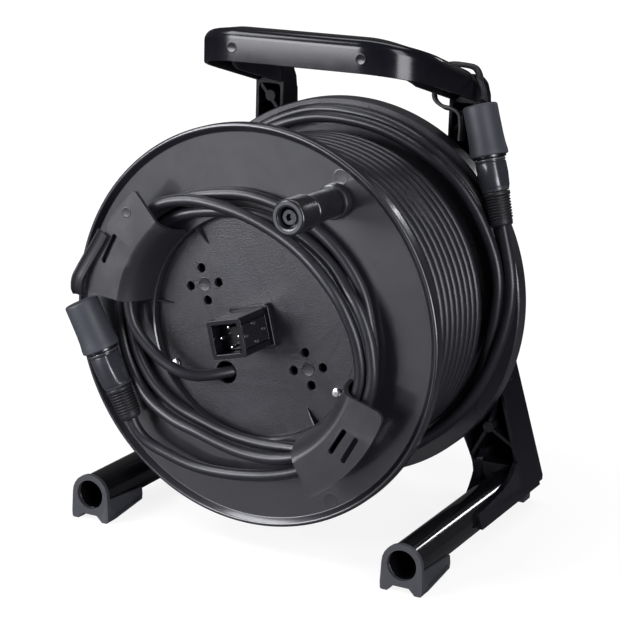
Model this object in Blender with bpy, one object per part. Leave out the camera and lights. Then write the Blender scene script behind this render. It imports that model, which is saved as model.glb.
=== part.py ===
# Portable cable drum on a stand, with a network cable wound on it and a rugged connector on each cable end.
# Blender 4.5. Sizes below are in millimetres and become metres when a mesh is made.
# Drum coordinates: x to the right, y from the drum's front lip towards the back, z up, axle at x = z = 0.
# The two empties put that frame in the world, where the drum's front faces -Y and the floor is z = 0.

import math

import bmesh
import bpy
from mathutils import Matrix, Vector

MM = 0.001
GAP = 0.3                       # clearance between two pieces that touch

# Cable
CABLE_DIAMETER = 7.8
TURN_PITCH = 8.25               # from turn to turn along the drum
TURNS = 13
TURN_STEPS = 24                 # points in one turn of the winding

# Drum
FLANGE_RADIUS = 135.0
AXLE_HEIGHT = 155.0
DRUM_WIDTH = 124.1              # clear space between the two flanges
FLANGE_WALL = 3.0
LIP_DEPTH = 3.5                 # how far the flange face lies behind the lip
LIP_SLOPE = 3.8                 # radial width of the sloped wall inside the lip
FRONT_RIM_WIDTH = 8.1
REAR_RIM_WIDTH = 13.7
BARREL_RADIUS = 79.7
BARREL_WALL = 2.7
WINDING_RADIUS = 111.7          # centre of the outer layer of turns

# Hub
RECESS_RADIUS = 75.4
HUB_PLATE_Y = 9.5
HUB_PLATE_WALL = 3.0
PATTERN_TURN = 14.0             # how far the hub plate's pattern is turned, degrees
HOLE_GROUP_RADIUS = 45.8
HOLE_CIRCLE_RADIUS = 11.0
HOLE_RADIUS = 3.2
HUB_SCREW_CIRCLE = 70.6
CABLE_HOLE = (-22.0, -35.2)
CABLE_HOLE_RADIUS = 7.9

# Centre block
BLOCK_SIDE = 25.6
BLOCK_FRONT_Y = -28.7
BLOCK_WALL = 3.2
SOCKET_DEPTH = 13.0
BASE_SIDE = 29.6
BASE_HEIGHT = 5.0
PIN_RADIUS = 1.1
PIN_CIRCLE = 6.6                # the socket's pins stand on this circle
SIDE_PLATE_HALF = 7.9           # the plate with four studs that is let into the block's right side
SIDE_PLATE_FRONT_Y = -27.0
SIDE_PLATE_BACK_Y = 1.6
SIDE_PLATE_DEPTH = 1.2
STUD_RADIUS = 1.2
STUD_HEIGHT = 0.8
STUD_SPREAD_Y = 11.0
STUD_SPREAD_Z = 5.9

# Crank
CRANK_CIRCLE = 109.3
CRANK_ANGLE = 57.2
KNOB_RADIUS = 11.0
KNOB_FRONT_Y = -59.2
PIN_SHANK_RADIUS = 4.0

# Cable holders
HOLDER_FRONT_Y = -21.0
HOLDER_WALL = 2.8
HOLDER_FOOT_RADIUS = 76.2

# Axle
AXLE_RADIUS = 8.0
BUSH_RADIUS = 10.6
WEB_Y = 44.6                    # front face of the barrel's web
AXLE_FRONT_Y = 34.0

# Rear frame
FRAME_FRONT_Y = 158.0
FRAME_REAR_TOP_Y = 178.5
FRAME_REAR_BOTTOM_Y = 196.0
FRAME_WALL = 3.0
UPRIGHT_OUTER = 88.0
UPRIGHT_INNER = 65.5
UPRIGHT_TOP_Z = 156.5
UPRIGHT_POCKET_TOP_Z = 139.0
LEG_BEND_Z = 38.0
LEG_FOOT_X = 137.5
LEG_FOOT_Z = -138.8
FOOT_BLOCK = 18.4               # height of the solid foot over the leg's lower edge
ARCH_TOP_Z = -48.0
YOKE_TOP_Z = 42.0
FRAME_BOSS_RADIUS = 19.0
FRAME_BOSS_FRONT_Y = 147.0

# Handle
HANDLE_FRONT_Y = 54.0
HANDLE_HALF_WIDTH = 88.5
HANDLE_WIDTH = 22.0
HANDLE_CORNER = 44.0
HANDLE_TOP_Z = 187.0
HANDLE_HEIGHT = 22.0
HANDLE_TOP_SLOPE = 0.29
HANDLE_BOTTOM_SLOPE = 0.26
HANDLE_WALL = 2.8
HANDLE_ROUND_Y = 142.0          # behind this the top of an arm is rounded down

# Foot tubes and shoes
TUBE_X = 120.1
TUBE_Z = -136.1
TUBE_RADIUS = 13.0
TUBE_WALL = 2.6
TUBE_FRONT_Y = -4.7
TUBE_REAR_Y = 195.0
SHOE_FRONT_Y = -8.2
SHOE_FACE = 3.2                 # thickness of the ring before the tube's end
SHOE_REAR_Y = 35.8
SHOE_TOE_Y = 2.5                # the sole is flat up to here and then rises
SHOE_HALF_WIDTH = 14.4
SHOE_REAR_LIFT = 4.1
SHOE_ARCH_WALL = 1.4
GROOVE_HALF_HEIGHT = 1.7
GROOVE_DEPTH = 1.0
HEEL_HALF_WIDTH = 6.5           # the rear pad's heel under the tube's end
HEEL_LENGTH = 8.5
PAD_WALL = 2.2
PLUG_LENGTH = 11.0

# Connectors: centre of the cap's closed end, and the far end of the boot
OUTER_CAP_TOP = (99.6, 131.0, 140.9)
OUTER_BOOT_END = (124.4, 121.5, 62.8)
INNER_CAP_TOP = (-119.7, -18.5, 5.7)
INNER_BOOT_END = (-84.3, -10.0, -72.7)
CAP_LENGTH = 35.0
CAP_TOP_RADIUS = 11.8
CAP_LIP_RADIUS = 13.0
SHELL_RADIUS = 9.6
BOOT_RADIUS = 7.6
BOOT_END_RADIUS = 6.1

# Straps: flat bands. The outer one goes once round the handle's arm and ends in a hanging tail.
OUTER_STRAP_WIDTH = 6.4
INNER_STRAP_WIDTH = 9.6
STRAP_THICKNESS = 2.4
OUTER_STRAP = [
    (99.8, 137.85, 142.3), (96.4, 142.6, 149.0), (92.2, 147.0, 154.0), (90.8, 148.6, 158.4), (87.4, 148.6, 162.6),
    (80.0, 148.4, 163.8), (70.0, 148.4, 163.8), (64.2, 148.2, 161.4), (61.6, 147.6, 154.0), (59.4, 146.6, 146.0),
    (60.6, 145.4, 139.0), (67.0, 144.4, 134.8), (75.0, 143.0, 133.8), (81.6, 140.6, 131.0), (84.2, 138.0, 124.0),
    (84.8, 136.4, 114.0),
]
INNER_STRAP = [
    (-98.4, -23.0, 56.4), (-102.0, -23.0, 50.0), (-107.6, -23.2, 41.0), (-113.4, -24.2, 31.0),
    (-117.0, -25.6, 23.0), (-118.4, -24.8, 15.8), (-118.9, -22.0, 11.4),
]

PLATE_BACK_Y = LIP_DEPTH + FLANGE_WALL
DRUM_BACK_Y = PLATE_BACK_Y + DRUM_WIDTH
CABLE_RADIUS = CABLE_DIAMETER / 2
WHOLE_FRONT_Y = KNOB_FRONT_Y
WHOLE_BACK_Y = TUBE_REAR_Y + GAP + PAD_WALL
CENTRE_Y = (WHOLE_FRONT_Y + WHOLE_BACK_Y) / 2


# Scene and small helpers

def clear_scene():
    for item in list(bpy.data.objects):
        bpy.data.objects.remove(item, do_unlink=True)


def finish(name, colour, roughness, metallic=0.0):
    material = bpy.data.materials.new(name)
    material.use_nodes = True
    shader = material.node_tree.nodes["Principled BSDF"]
    shader.inputs["Base Color"].default_value = (*colour, 1.0)
    shader.inputs["Roughness"].default_value = roughness
    shader.inputs["Metallic"].default_value = metallic
    return material


def empty(name, place, parent=None):
    item = bpy.data.objects.new(name, None)
    item.location = Vector(place) * MM
    item.parent = parent
    bpy.context.collection.objects.link(item)
    return item


def add_object(name, data, material, parent):
    item = bpy.data.objects.new(name, data)
    data.materials.append(material)
    item.parent = parent
    bpy.context.collection.objects.link(item)
    return item


def mesh_object(name, shape, material, parent, sharp_angle=32.0):
    """Makes an object of one or more closed bodies. shape is (points, faces) with points in millimetres."""
    points, faces = shape
    mesh = bpy.data.meshes.new(name)
    mesh.from_pydata([tuple(Vector(p) * MM) for p in points], [], faces)
    work = bmesh.new()
    work.from_mesh(mesh)
    bmesh.ops.recalc_face_normals(work, faces=work.faces)
    work.to_mesh(mesh)
    work.free()
    mesh.shade_smooth()
    mesh.set_sharp_from_angle(angle=math.radians(sharp_angle))
    return add_object(name, mesh, material, parent)


def joined(*shapes):
    points = []
    faces = []
    for more_points, more_faces in shapes:
        start = len(points)
        points.extend(more_points)
        faces.extend([tuple(start + i for i in face) for face in more_faces])
    return points, faces


def moved(shape, matrix):
    points, faces = shape
    return [tuple(matrix @ Vector(p)) for p in points], faces


def loft(rings):
    """A closed skin over rings of equal length, with a flat cap on the first and the last ring."""
    count = len(rings[0])
    points = [p for ring in rings for p in ring]
    faces = []
    for r in range(len(rings) - 1):
        for i in range(count):
            j = (i + 1) % count
            faces.append((r * count + i, r * count + j, (r + 1) * count + j, (r + 1) * count + i))
    faces.append(tuple(range(count)))
    faces.append(tuple((len(rings) - 1) * count + i for i in range(count)))
    return points, faces


def prism(outline, front, back):
    """An outline of (x, z) points carried from y = front to y = back. Either may be a function of z."""
    def depth(value, z):
        return value(z) if callable(value) else value
    return loft([[(x, depth(front, z), z) for x, z in outline],
                 [(x, depth(back, z), z) for x, z in outline]])


def turned(profile, steps, centre=(0.0, 0.0), start=0.0, sweep=360.0):
    """Turns a closed profile of (radius, y) points about the y axis through centre (x, z)."""
    whole = sweep >= 360.0
    ring_count = steps if whole else steps + 1
    rings = []
    for k in range(ring_count):
        angle = math.radians(start + sweep * k / steps)
        rings.append([(centre[0] + r * math.cos(angle), y, centre[1] + r * math.sin(angle)) for r, y in profile])
    if not whole:
        return loft(rings)
    count = len(profile)
    points = [p for ring in rings for p in ring]
    faces = []
    for k in range(ring_count):
        n = (k + 1) % ring_count
        for i in range(count):
            j = (i + 1) % count
            faces.append((k * count + i, k * count + j, n * count + j, n * count + i))
    return points, faces


def spindle(profile, steps, centre=(0.0, 0.0)):
    """Turns an open profile of (radius, y) points about the y axis and closes it with flat end faces."""
    rings = []
    for r, y in profile:
        ring = []
        for k in range(steps):
            angle = 2 * math.pi * k / steps
            ring.append((centre[0] + r * math.cos(angle), y, centre[1] + r * math.sin(angle)))
        rings.append(ring)
    return loft(rings)


def along(base, tip):
    """A matrix that carries the y axis onto the line from base to tip, with its origin at base."""
    direction = (Vector(tip) - Vector(base)).normalized()
    turn = Vector((0.0, 1.0, 0.0)).rotation_difference(direction)
    return Matrix.Translation(Vector(base)) @ turn.to_matrix().to_4x4()


def polar(angle, radius, y):
    turn = math.radians(angle)
    return (radius * math.cos(turn), y, radius * math.sin(turn))


def combine(item, other, operation, self_cut=False):
    """Joins or cuts item with a helper object that stays hidden."""
    other.hide_render = True
    other.display_type = "WIRE"
    step = item.modifiers.new(operation.lower(), "BOOLEAN")
    step.operation = operation
    step.solver = "EXACT"
    step.use_self = self_cut
    step.object = other
    return item


def cutter(name, shape, parent):
    return mesh_object(name, shape, BLACK_PLASTIC, parent)


def rounded(outline, radius, steps=3):
    """An outline with each corner cut by an arc, which shrinks where its two sides are short."""
    result = []
    count = len(outline)
    for i, corner in enumerate(outline):
        here = Vector(corner)
        before = Vector(outline[i - 1])
        after = Vector(outline[(i + 1) % count])
        reach = min(radius, (before - here).length * 0.45, (after - here).length * 0.45)
        first = here + (before - here).normalized() * reach
        last = here + (after - here).normalized() * reach
        for k in range(steps + 1):
            t = k / steps
            point = first * (1 - t) ** 2 + here * 2 * t * (1 - t) + last * t ** 2
            result.append((point.x, point.y))
    return result


# Cord routes

def smooth_route(points, spacing):
    """Reads points off one smooth curve through the given points, about one for each spacing."""
    knots = [Vector(p) for p in points]
    knots = [knots[0] * 2 - knots[1]] + knots + [knots[-1] * 2 - knots[-2]]
    fine = []
    for i in range(1, len(knots) - 2):
        a, b, c, d = knots[i - 1:i + 3]
        for k in range(16):
            t = k / 16
            fine.append(0.5 * (2 * b + (c - a) * t + (2 * a - 5 * b + 4 * c - d) * t ** 2
                               + (3 * b - a - 3 * c + d) * t ** 3))
    fine.append(knots[-2])
    reach = [0.0]
    for first, second in zip(fine, fine[1:]):
        reach.append(reach[-1] + (second - first).length)
    count = max(2, round(reach[-1] / spacing))
    route = []
    place = 0
    for k in range(count + 1):
        goal = reach[-1] * k / count
        while place < len(reach) - 2 and reach[place + 1] < goal:
            place += 1
        span = reach[place + 1] - reach[place]
        route.append(fine[place].lerp(fine[place + 1], (goal - reach[place]) / span))
    return route


def route_length(route):
    return sum((b - a).length for a, b in zip(route, route[1:]))


def least_gap(route, diameter):
    """The least distance between two stretches of one cord that are not neighbours, less its diameter."""
    best = 1.0e9
    reach = [0.0]
    for a, b in zip(route, route[1:]):
        reach.append(reach[-1] + (b - a).length)
    for i, a in enumerate(route):
        for j in range(i + 1, len(route)):
            if reach[j] - reach[i] > diameter * 6:
                best = min(best, (route[j] - a).length)
    return best - diameter


def cord(name, route, material, parent, resolution):
    data = bpy.data.curves.new(name, "CURVE")
    data.dimensions = "3D"
    data.bevel_depth = CABLE_RADIUS * MM
    data.bevel_resolution = resolution
    data.use_fill_caps = True
    line = data.splines.new("POLY")
    line.points.add(len(route) - 1)
    for point, place in zip(line.points, route):
        point.co = (*(Vector(place) * MM), 1.0)
    return add_object(name, data, material, parent)


# Outer tail, from the boot of the outer connector down the right side and twice round the drum.
# Later rows are (angle, radius, y); the angle falls by 360 degrees for each turn.
OUTER_TAIL_LEAD = [
    (124.5, 121.45, 62.5), (126.9, 120.5, 54.9), (131.5, 119.0, 40.0), (134.3, 118.0, 25.5), (134.2, 117.4, 9.0),
]
OUTER_TAIL_TURNS = [
    (-3, 131.8, 117.0), (-8, 129.9, 116.5), (-16, 127.5, 116.5), (-24, 125.8, 116.7), (-34, 124.2, 117.0),
    (-46, 122.5, 117.2), (-64, 121.5, 117.3), (-90, 121.2, 117.5), (-115, 121.2, 117.6), (-140, 121.2, 117.6),
    (-165, 121.4, 117.6), (-190, 121.8, 117.6), (-215, 122.8, 117.6), (-235, 123.8, 117.6), (-256, 124.0, 117.6),
    (-272, 123.8, 117.6), (-290, 124.4, 117.6), (-310, 126.8, 117.6), (-325, 128.2, 117.6), (-340, 128.4, 117.6),
    (-350, 127.2, 117.6), (-360, 123.9, 117.9), (-368, 121.8, 119.5), (-376, 121.2, 122.5), (-384, 121.1, 125.0),
    (-393, 121.1, 126.1), (-415, 121.2, 126.1), (-440, 121.2, 126.1), (-465, 121.2, 126.1), (-490, 121.4, 126.1),
    (-515, 122.0, 126.1), (-540, 122.8, 126.1), (-565, 124.6, 126.1), (-590, 127.2, 126.1), (-615, 128.8, 126.1),
    (-636, 127.6, 126.1), (-655, 127.4, 126.1), (-675, 128.4, 126.1), (-690, 128.5, 126.1), (-704, 127.8, 126.1),
    (-712, 125.0, 126.1), (-720, 120.5, 126.1), (-728, 116.2, 126.1), (-736, 113.4, 126.1), (-745, 112.2, 126.1),
    (-760, 111.9, 126.1), (-780, 111.9, 126.1), (-800, 111.9, 126.1),
]

# Inner tail, out of the hub plate's hole, three times round the holders and into the inner connector's boot.
INNER_TAIL_LEAD = [
    (-7.0, 43.9, -33.0), (-7.0, 36.0, -33.0), (-9.2, 26.5, -33.6), (-14.6, 18.2, -34.4), (-22.0, 11.0, -35.4),
    (-29.8, 4.6, -37.0), (-38.6, -0.8, -38.0), (-51.0, -4.6, -35.6), (-64.5, -6.0, -28.6), (-77.0, -7.5, -17.2),
]
INNER_TAIL_TURNS = [
    (-177, 85.2, -8.8), (-190, 88.8, -9.6), (-205, 92.5, -9.6), (-220, 98.5, -9.6), (-230, 100.2, -9.6),
    (-245, 91.5, -9.6), (-262, 81.2, -9.6), (-276, 76.0, -9.6), (-290, 73.2, -9.8), (-305, 73.2, -11.0),
    (-320, 75.2, -12.8), (-334, 79.0, -14.0), (-344, 81.4, -13.2), (-355, 84.4, -11.4), (-369, 88.3, -9.9),
    (-382, 89.3, -9.8), (-400, 89.3, -9.8), (-417, 88.6, -9.8), (-431, 85.8, -9.6), (-446, 82.2, -9.6),
    (-460, 80.0, -9.6), (-474, 80.6, -9.4), (-488, 86.8, -8.4), (-503, 95.0, -4.8), (-518, 98.4, -1.6),
    (-533, 99.4, -0.8), (-550, 99.6, -0.8), (-570, 99.6, -0.8), (-585, 99.0, -0.8), (-600, 94.8, -0.8),
    (-615, 90.6, -0.8), (-630, 89.0, -0.8), (-650, 87.8, -0.8), (-668, 87.8, -0.8), (-682, 89.0, -0.8),
    (-696, 90.2, -0.8), (-710, 89.8, -0.8), (-724, 91.6, -0.8), (-742, 93.4, -0.8), (-758, 93.0, -0.8),
    (-775, 88.4, -0.8), (-789, 80.8, -0.8), (-803, 76.8, -0.8), (-820, 75.2, -0.8), (-836, 76.4, -0.8),
    (-852, 82.2, -0.8), (-868, 87.4, -0.8), (-884, 90.0, -0.8), (-900, 90.7, -0.8), (-920, 90.7, -0.8),
    (-942, 90.2, -0.8), (-954, 86.9, -0.8), (-966, 81.8, -0.8), (-978, 78.2, -0.8), (-993, 76.8, -0.8),
    (-1008, 76.4, -0.8), (-1022, 77.0, -0.9), (-1036, 78.8, -1.4), (-1044, 80.6, -3.0), (-1052, 83.4, -6.8),
    (-1060, 88.0, -9.2), (-1070, 91.6, -9.9), (-1080, 94.4, -9.8), (-1092, 97.4, -9.8), (-1108, 98.0, -9.8),
    (-1124, 98.2, -9.8), (-1138, 97.4, -9.6), (-1150, 96.8, -8.6), (-1165, 97.6, -6.6), (-1180, 101.6, -6.0),
    (-1192, 106.6, -6.4), (-1203, 111.0, -7.2),
]
INNER_TAIL_END = [(-70.2, -7.9, -89.6), (-77.2, -8.6, -84.9), (-81.6, -9.3, -79.2), (-84.2, -9.97, -72.95)]

TAIL_STEP = 5.6                 # between points read off a tail's smooth curve
LEAD_STEPS = 18                 # the first steps of a tail, where it bends most and keeps every other point


def thinned(route):
    """Keeps every other point of the tight lead and of the last bend, and every fourth between them."""
    return route[:LEAD_STEPS:2] + route[LEAD_STEPS:-9:4] + route[-7::2]


def outer_tail_route():
    return thinned(smooth_route(OUTER_TAIL_LEAD + [polar(*row) for row in OUTER_TAIL_TURNS], TAIL_STEP))


def inner_tail_route():
    turns = [polar(*row) for row in INNER_TAIL_TURNS]
    return thinned(smooth_route(INNER_TAIL_LEAD + turns + INNER_TAIL_END, TAIL_STEP))


def winding_route(steps):
    """One helix of cable over the core, starting beside the front flange. Its two ends run straight."""
    start_y = PLATE_BACK_Y + CABLE_RADIUS + GAP
    first_angle = -200.0
    route = []
    for k in range(TURNS * steps + 1):
        turn = k / steps
        route.append(Vector(polar(first_angle - 360.0 * turn, WINDING_RADIUS, start_y + TURN_PITCH * turn)))
    head = (route[0] - route[1]).normalized() * CABLE_DIAMETER
    foot = (route[-1] - route[-2]).normalized() * CABLE_DIAMETER
    return [route[0] + head] + route + [route[-1] + foot]


# Stand

def frame_rear_y(z):
    """The frame's back leans, so that its channel is deeper at the feet than at the handle."""
    share = (UPRIGHT_TOP_Z - z) / (UPRIGHT_TOP_Z - LEG_FOOT_Z)
    return FRAME_REAR_TOP_Y + (FRAME_REAR_BOTTOM_Y - FRAME_REAR_TOP_Y) * share


def boss_back_y():
    """The axle's boss ends in a flat face just behind the frame's leaning back."""
    return frame_rear_y(-FRAME_BOSS_RADIUS) + 0.4


def frame_web_y(z):
    return frame_rear_y(z) - FRAME_WALL


def mirrored(outline):
    return [(-x, z) for x, z in reversed(outline)]


def leg_edge_x(z):
    """The outer edge of the right leg at height z."""
    if z >= LEG_BEND_Z:
        return UPRIGHT_OUTER
    share = (LEG_BEND_Z - z) / (LEG_BEND_Z - LEG_FOOT_Z)
    return UPRIGHT_OUTER + (LEG_FOOT_X - UPRIGHT_OUTER) * share


ARCH_SIDE = [(0.0, ARCH_TOP_Z), (40.0, ARCH_TOP_Z - 2.0), (62.0, ARCH_TOP_Z - 12.0), (76.0, ARCH_TOP_Z - 30.0),
             (90.0, -106.0), (96.4, -120.0), (98.0, LEG_FOOT_Z)]
YOKE_SIDE = [(UPRIGHT_INNER, YOKE_TOP_Z + 30.0), (58.0, YOKE_TOP_Z + 12.0), (44.0, YOKE_TOP_Z + 2.0),
             (26.0, YOKE_TOP_Z)]


def frame_outline():
    """The front view of the frame: two uprights, the yoke that holds the axle and two splayed legs."""
    right = [(UPRIGHT_INNER, UPRIGHT_TOP_Z), (UPRIGHT_OUTER, UPRIGHT_TOP_Z), (UPRIGHT_OUTER, LEG_BEND_Z + 12.0),
             (leg_edge_x(LEG_BEND_Z - 12.0), LEG_BEND_Z - 12.0), (LEG_FOOT_X, LEG_FOOT_Z)]
    arch = list(reversed(ARCH_SIDE))
    yoke = list(reversed(YOKE_SIDE))
    return yoke + right + arch + mirrored(yoke + right + arch[:-1])


def inset_convex(outline, distance):
    """Moves each side of a convex outline inwards by distance."""
    count = len(outline)
    centre = sum((Vector(p) for p in outline), Vector((0.0, 0.0))) / count
    lines = []
    for i in range(count):
        a = Vector(outline[i])
        b = Vector(outline[(i + 1) % count])
        side = (b - a).normalized()
        inward = Vector((-side.y, side.x))
        if inward.dot(centre - a) < 0:
            inward = -inward
        lines.append((a + inward * distance, side))
    result = []
    for i in range(count):
        p, u = lines[i - 1]
        q, v = lines[i]
        cross = u.x * v.y - u.y * v.x
        t = ((q - p).x * v.y - (q - p).y * v.x) / cross
        result.append(tuple(p + u * t))
    return result


def frame_pockets():
    """The hollows of the moulding, open to the front. What is left between two of them is a rib."""
    z_low = LEG_FOOT_Z + FOOT_BLOCK
    upright_top = [(UPRIGHT_INNER, UPRIGHT_POCKET_TOP_Z), (UPRIGHT_OUTER, UPRIGHT_POCKET_TOP_Z),
                   (UPRIGHT_OUTER, 74.0), (UPRIGHT_INNER, 74.0)]
    upright_mid = [(UPRIGHT_INNER, 74.0), (UPRIGHT_OUTER, 74.0), (UPRIGHT_OUTER, LEG_BEND_Z + 6.0),
                   (58.0, YOKE_TOP_Z + 8.0)]
    shoulder = [(58.0, YOKE_TOP_Z + 6.0), (UPRIGHT_OUTER, LEG_BEND_Z + 6.0), (leg_edge_x(-8.0), -8.0),
                (38.0, 14.0)]
    hip = [(38.0, 12.0), (leg_edge_x(-8.0), -10.0), (leg_edge_x(-52.0), -52.0), (66.0, ARCH_TOP_Z - 10.0),
           (30.0, ARCH_TOP_Z + 2.0)]
    leg = [(70.0, ARCH_TOP_Z - 16.0), (leg_edge_x(-54.0), -54.0), (leg_edge_x(z_low), z_low), (93.6, z_low),
           (84.0, -92.0)]
    top = [(24.0, YOKE_TOP_Z), (56.0, YOKE_TOP_Z + 8.0), (34.0, 15.0), (22.0, 14.0)]
    shapes = (upright_top, upright_mid, shoulder, hip, leg, top)
    return [inset_convex(shape, FRAME_WALL * 0.8) for shape in shapes]


def rib(start, end, width, front, back):
    """A straight rib between two (x, z) points."""
    a = Vector(start)
    b = Vector(end)
    side = (b - a).normalized() * width / 2
    across = Vector((-side.y, side.x))
    return prism([tuple(a + across), tuple(b + across), tuple(b - across), tuple(a - across)], front, back)


def foot_gusset(sign):
    """The leg's side walls sweep forward along the tube; the saddle's bore is cut later."""
    outer_side = [(FRAME_FRONT_Y + 8.0, -112.0), (FRAME_FRONT_Y - 1.0, -115.0), (152.5, -117.6), (142.7, -121.6),
                  (126.0, -124.6), (104.0, -126.4), (84.0, -127.4), (81.6, -129.4), (83.0, LEG_FOOT_Z),
                  (188.0, LEG_FOOT_Z), (188.0, -112.0)]
    inner_side = [(FRAME_FRONT_Y + 8.0, -112.0), (FRAME_FRONT_Y - 1.0, -120.0), (152.0, -129.0), (147.6, -134.4),
                  (143.0, LEG_FOOT_Z), (188.0, LEG_FOOT_Z), (188.0, -112.0)]
    outer = loft([[(sign * (leg_edge_x(z) - inset), y, z) for y, z in outer_side] for inset in (3.8, 0.1)])
    inner = loft([[(sign * x, y, z) for y, z in inner_side] for x in (98.6, 103.0)])
    return [outer, inner]


def upright_bevel(sign):
    """What is cut off the back of an upright's top, which is rounded there."""
    side = [(159.5, UPRIGHT_TOP_Z + 1.0), (166.0, 154.4), (172.5, 149.0), (177.6, 141.0), (179.2, 133.0),
            (190.0, 133.0), (190.0, UPRIGHT_TOP_Z + 1.0)]
    return loft([[(sign * x, y, z) for y, z in side] for x in (UPRIGHT_INNER - 4.0, UPRIGHT_OUTER + 4.0)])


def make_frame(stand):
    frame = mesh_object("rear_frame", prism(rounded(frame_outline(), 5.0, 2), FRAME_FRONT_Y, frame_rear_y),
                        BLACK_PLASTIC, stand)
    pockets = []
    for outline in frame_pockets():
        for side in (outline, mirrored(outline)):
            pockets.append(prism(rounded(side, 3.0, 2), FRAME_FRONT_Y - 4.0, frame_web_y))
    pockets += [upright_bevel(1), upright_bevel(-1)]
    combine(frame, cutter("frame_pockets", joined(*pockets), stand), "DIFFERENCE")

    added = []
    rib_front = FRAME_FRONT_Y + 1.2
    rib_width = 2.4
    for sign in (1, -1):
        boss = (sign * 106.5, -92.5)
        for end in ((114.4, -60.0), (94.2, -116.0), (127.0, -104.5)):
            added.append(rib(boss, (sign * end[0], end[1]), rib_width, rib_front, frame_web_y_plus))
        added.append(spindle([(4.0, FRAME_FRONT_Y + 0.6), (4.0, FRAME_FRONT_Y + 30.0)], 14, boss))
        upper = (sign * 76.5, 127.5)
        added.append(rib((sign * 87.0, 138.0), (sign * 66.6, 114.0), rib_width, rib_front, frame_web_y_plus))
        added.append(spindle([(4.0, FRAME_FRONT_Y + 0.6), (4.0, FRAME_FRONT_Y + 18.5)], 14, upper))
        added.extend(foot_gusset(sign))
    combine(frame, cutter("frame_ribs", joined(*added), stand), "UNION", True)

    boss = spindle([(FRAME_BOSS_RADIUS - 2.0, FRAME_BOSS_FRONT_Y), (FRAME_BOSS_RADIUS, FRAME_BOSS_FRONT_Y + 2.0),
                    (FRAME_BOSS_RADIUS, boss_back_y())], 36)
    combine(frame, cutter("frame_boss", boss, stand), "UNION")

    holes = [spindle([(AXLE_RADIUS + GAP, FRAME_BOSS_FRONT_Y - 4.0), (AXLE_RADIUS + GAP, 200.0)], 24)]
    for sign in (1, -1):
        saddle = [(TUBE_RADIUS + GAP, 60.0), (TUBE_RADIUS + GAP, TUBE_REAR_Y + 15.0)]
        holes.append(spindle(saddle, 32, (sign * TUBE_X, TUBE_Z)))
    combine(frame, cutter("frame_holes", joined(*holes), stand), "DIFFERENCE")
    return frame


def frame_web_y_plus(z):
    return frame_web_y(z) + 1.0


def handle_stations():
    """Points of the bow's outer face in plan, with the outward direction at each, from right to left."""
    end_y = FRAME_FRONT_Y - GAP
    corner_x = HANDLE_HALF_WIDTH - HANDLE_CORNER
    corner_y = HANDLE_FRONT_Y + HANDLE_CORNER
    stations = []
    for y in (end_y, 153.0, 148.0, HANDLE_ROUND_Y, 120.0):
        stations.append((HANDLE_HALF_WIDTH, y, 1.0, 0.0))
    for k in range(8):
        turn = math.radians(90.0 * k / 7)
        stations.append((corner_x + HANDLE_CORNER * math.cos(turn), corner_y - HANDLE_CORNER * math.sin(turn),
                         math.cos(turn), -math.sin(turn)))
    return stations + [(-x, y, -nx, ny) for x, y, nx, ny in reversed(stations)]


def handle_top(y):
    """The top falls evenly towards the back, and its last stretch is rounded down."""
    round_over = max(0.0, y - HANDLE_ROUND_Y) ** 2 * 0.02
    return HANDLE_TOP_Z - HANDLE_TOP_SLOPE * (y - HANDLE_FRONT_Y) - round_over


def handle_bottom(y):
    return HANDLE_TOP_Z - HANDLE_HEIGHT - HANDLE_BOTTOM_SLOPE * (y - HANDLE_FRONT_Y)


def handle_section(station, outline):
    """Places a section of (inwards, share of height, offset) rows at one station of the bow."""
    x, y, nx, ny = station
    ring = []
    for inwards, share, offset in outline:
        px = x - nx * inwards
        py = y - ny * inwards
        z = handle_bottom(y) + (handle_top(y) - handle_bottom(y)) * share + offset
        ring.append((px, py, z))
    return ring


def make_handle(stand):
    """A bow that is a channel open to below: up the outer face, over the top, down inside and back."""
    w = HANDLE_WIDTH
    t = HANDLE_WALL
    channel = [(0.0, 0.0, 0.0), (0.0, 1.0, -6.5), (0.7, 1.0, -3.6), (2.4, 1.0, -1.2), (5.4, 1.0, 0.0),
               (w - 5.4, 1.0, 0.0), (w - 2.4, 1.0, -1.2), (w - 0.7, 1.0, -3.6), (w, 1.0, -6.5), (w, 0.0, 0.0),
               (w - t, 0.0, 0.0), (w - t, 1.0, -7.5), (w - t - 3.0, 1.0, -t), (t + 3.0, 1.0, -t),
               (t, 1.0, -7.5), (t, 0.0, 0.0)]
    shape = loft([handle_section(s, channel) for s in handle_stations()])
    return mesh_object("handle", shape, BLACK_PLASTIC, stand)


def shoe_rows(sole):
    """The right half of a shoe's section, from its flank down to the arch, measured from the tube's centre."""
    half = SHOE_HALF_WIDTH
    arch = max(sole + 0.2, -TUBE_RADIUS - GAP - SHOE_ARCH_WALL)
    return [(half + 0.5, sole + 5.0), (half + 0.2, sole + 0.8), (half - 0.8, sole), (half - 4.8, sole),
            (half - 6.0, (sole * 2 + arch) / 3), (half - 9.0, arch)]


def shoe_section(drop, sole):
    """A shoe's closed section: the two flanks, the sole with its arch, and the cradle that hugs the tube."""
    hug = TUBE_RADIUS + GAP
    right = [(SHOE_HALF_WIDTH, -drop)] + shoe_rows(sole)
    left = [(-x, z) for x, z in reversed(right)]
    edge = math.asin(drop / hug)
    cradle = []
    for k in range(11):
        turn = math.pi + edge + (math.pi - 2 * edge) * k / 10
        cradle.append((hug * math.cos(turn), hug * math.sin(turn)))
    return right + left + cradle


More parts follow.
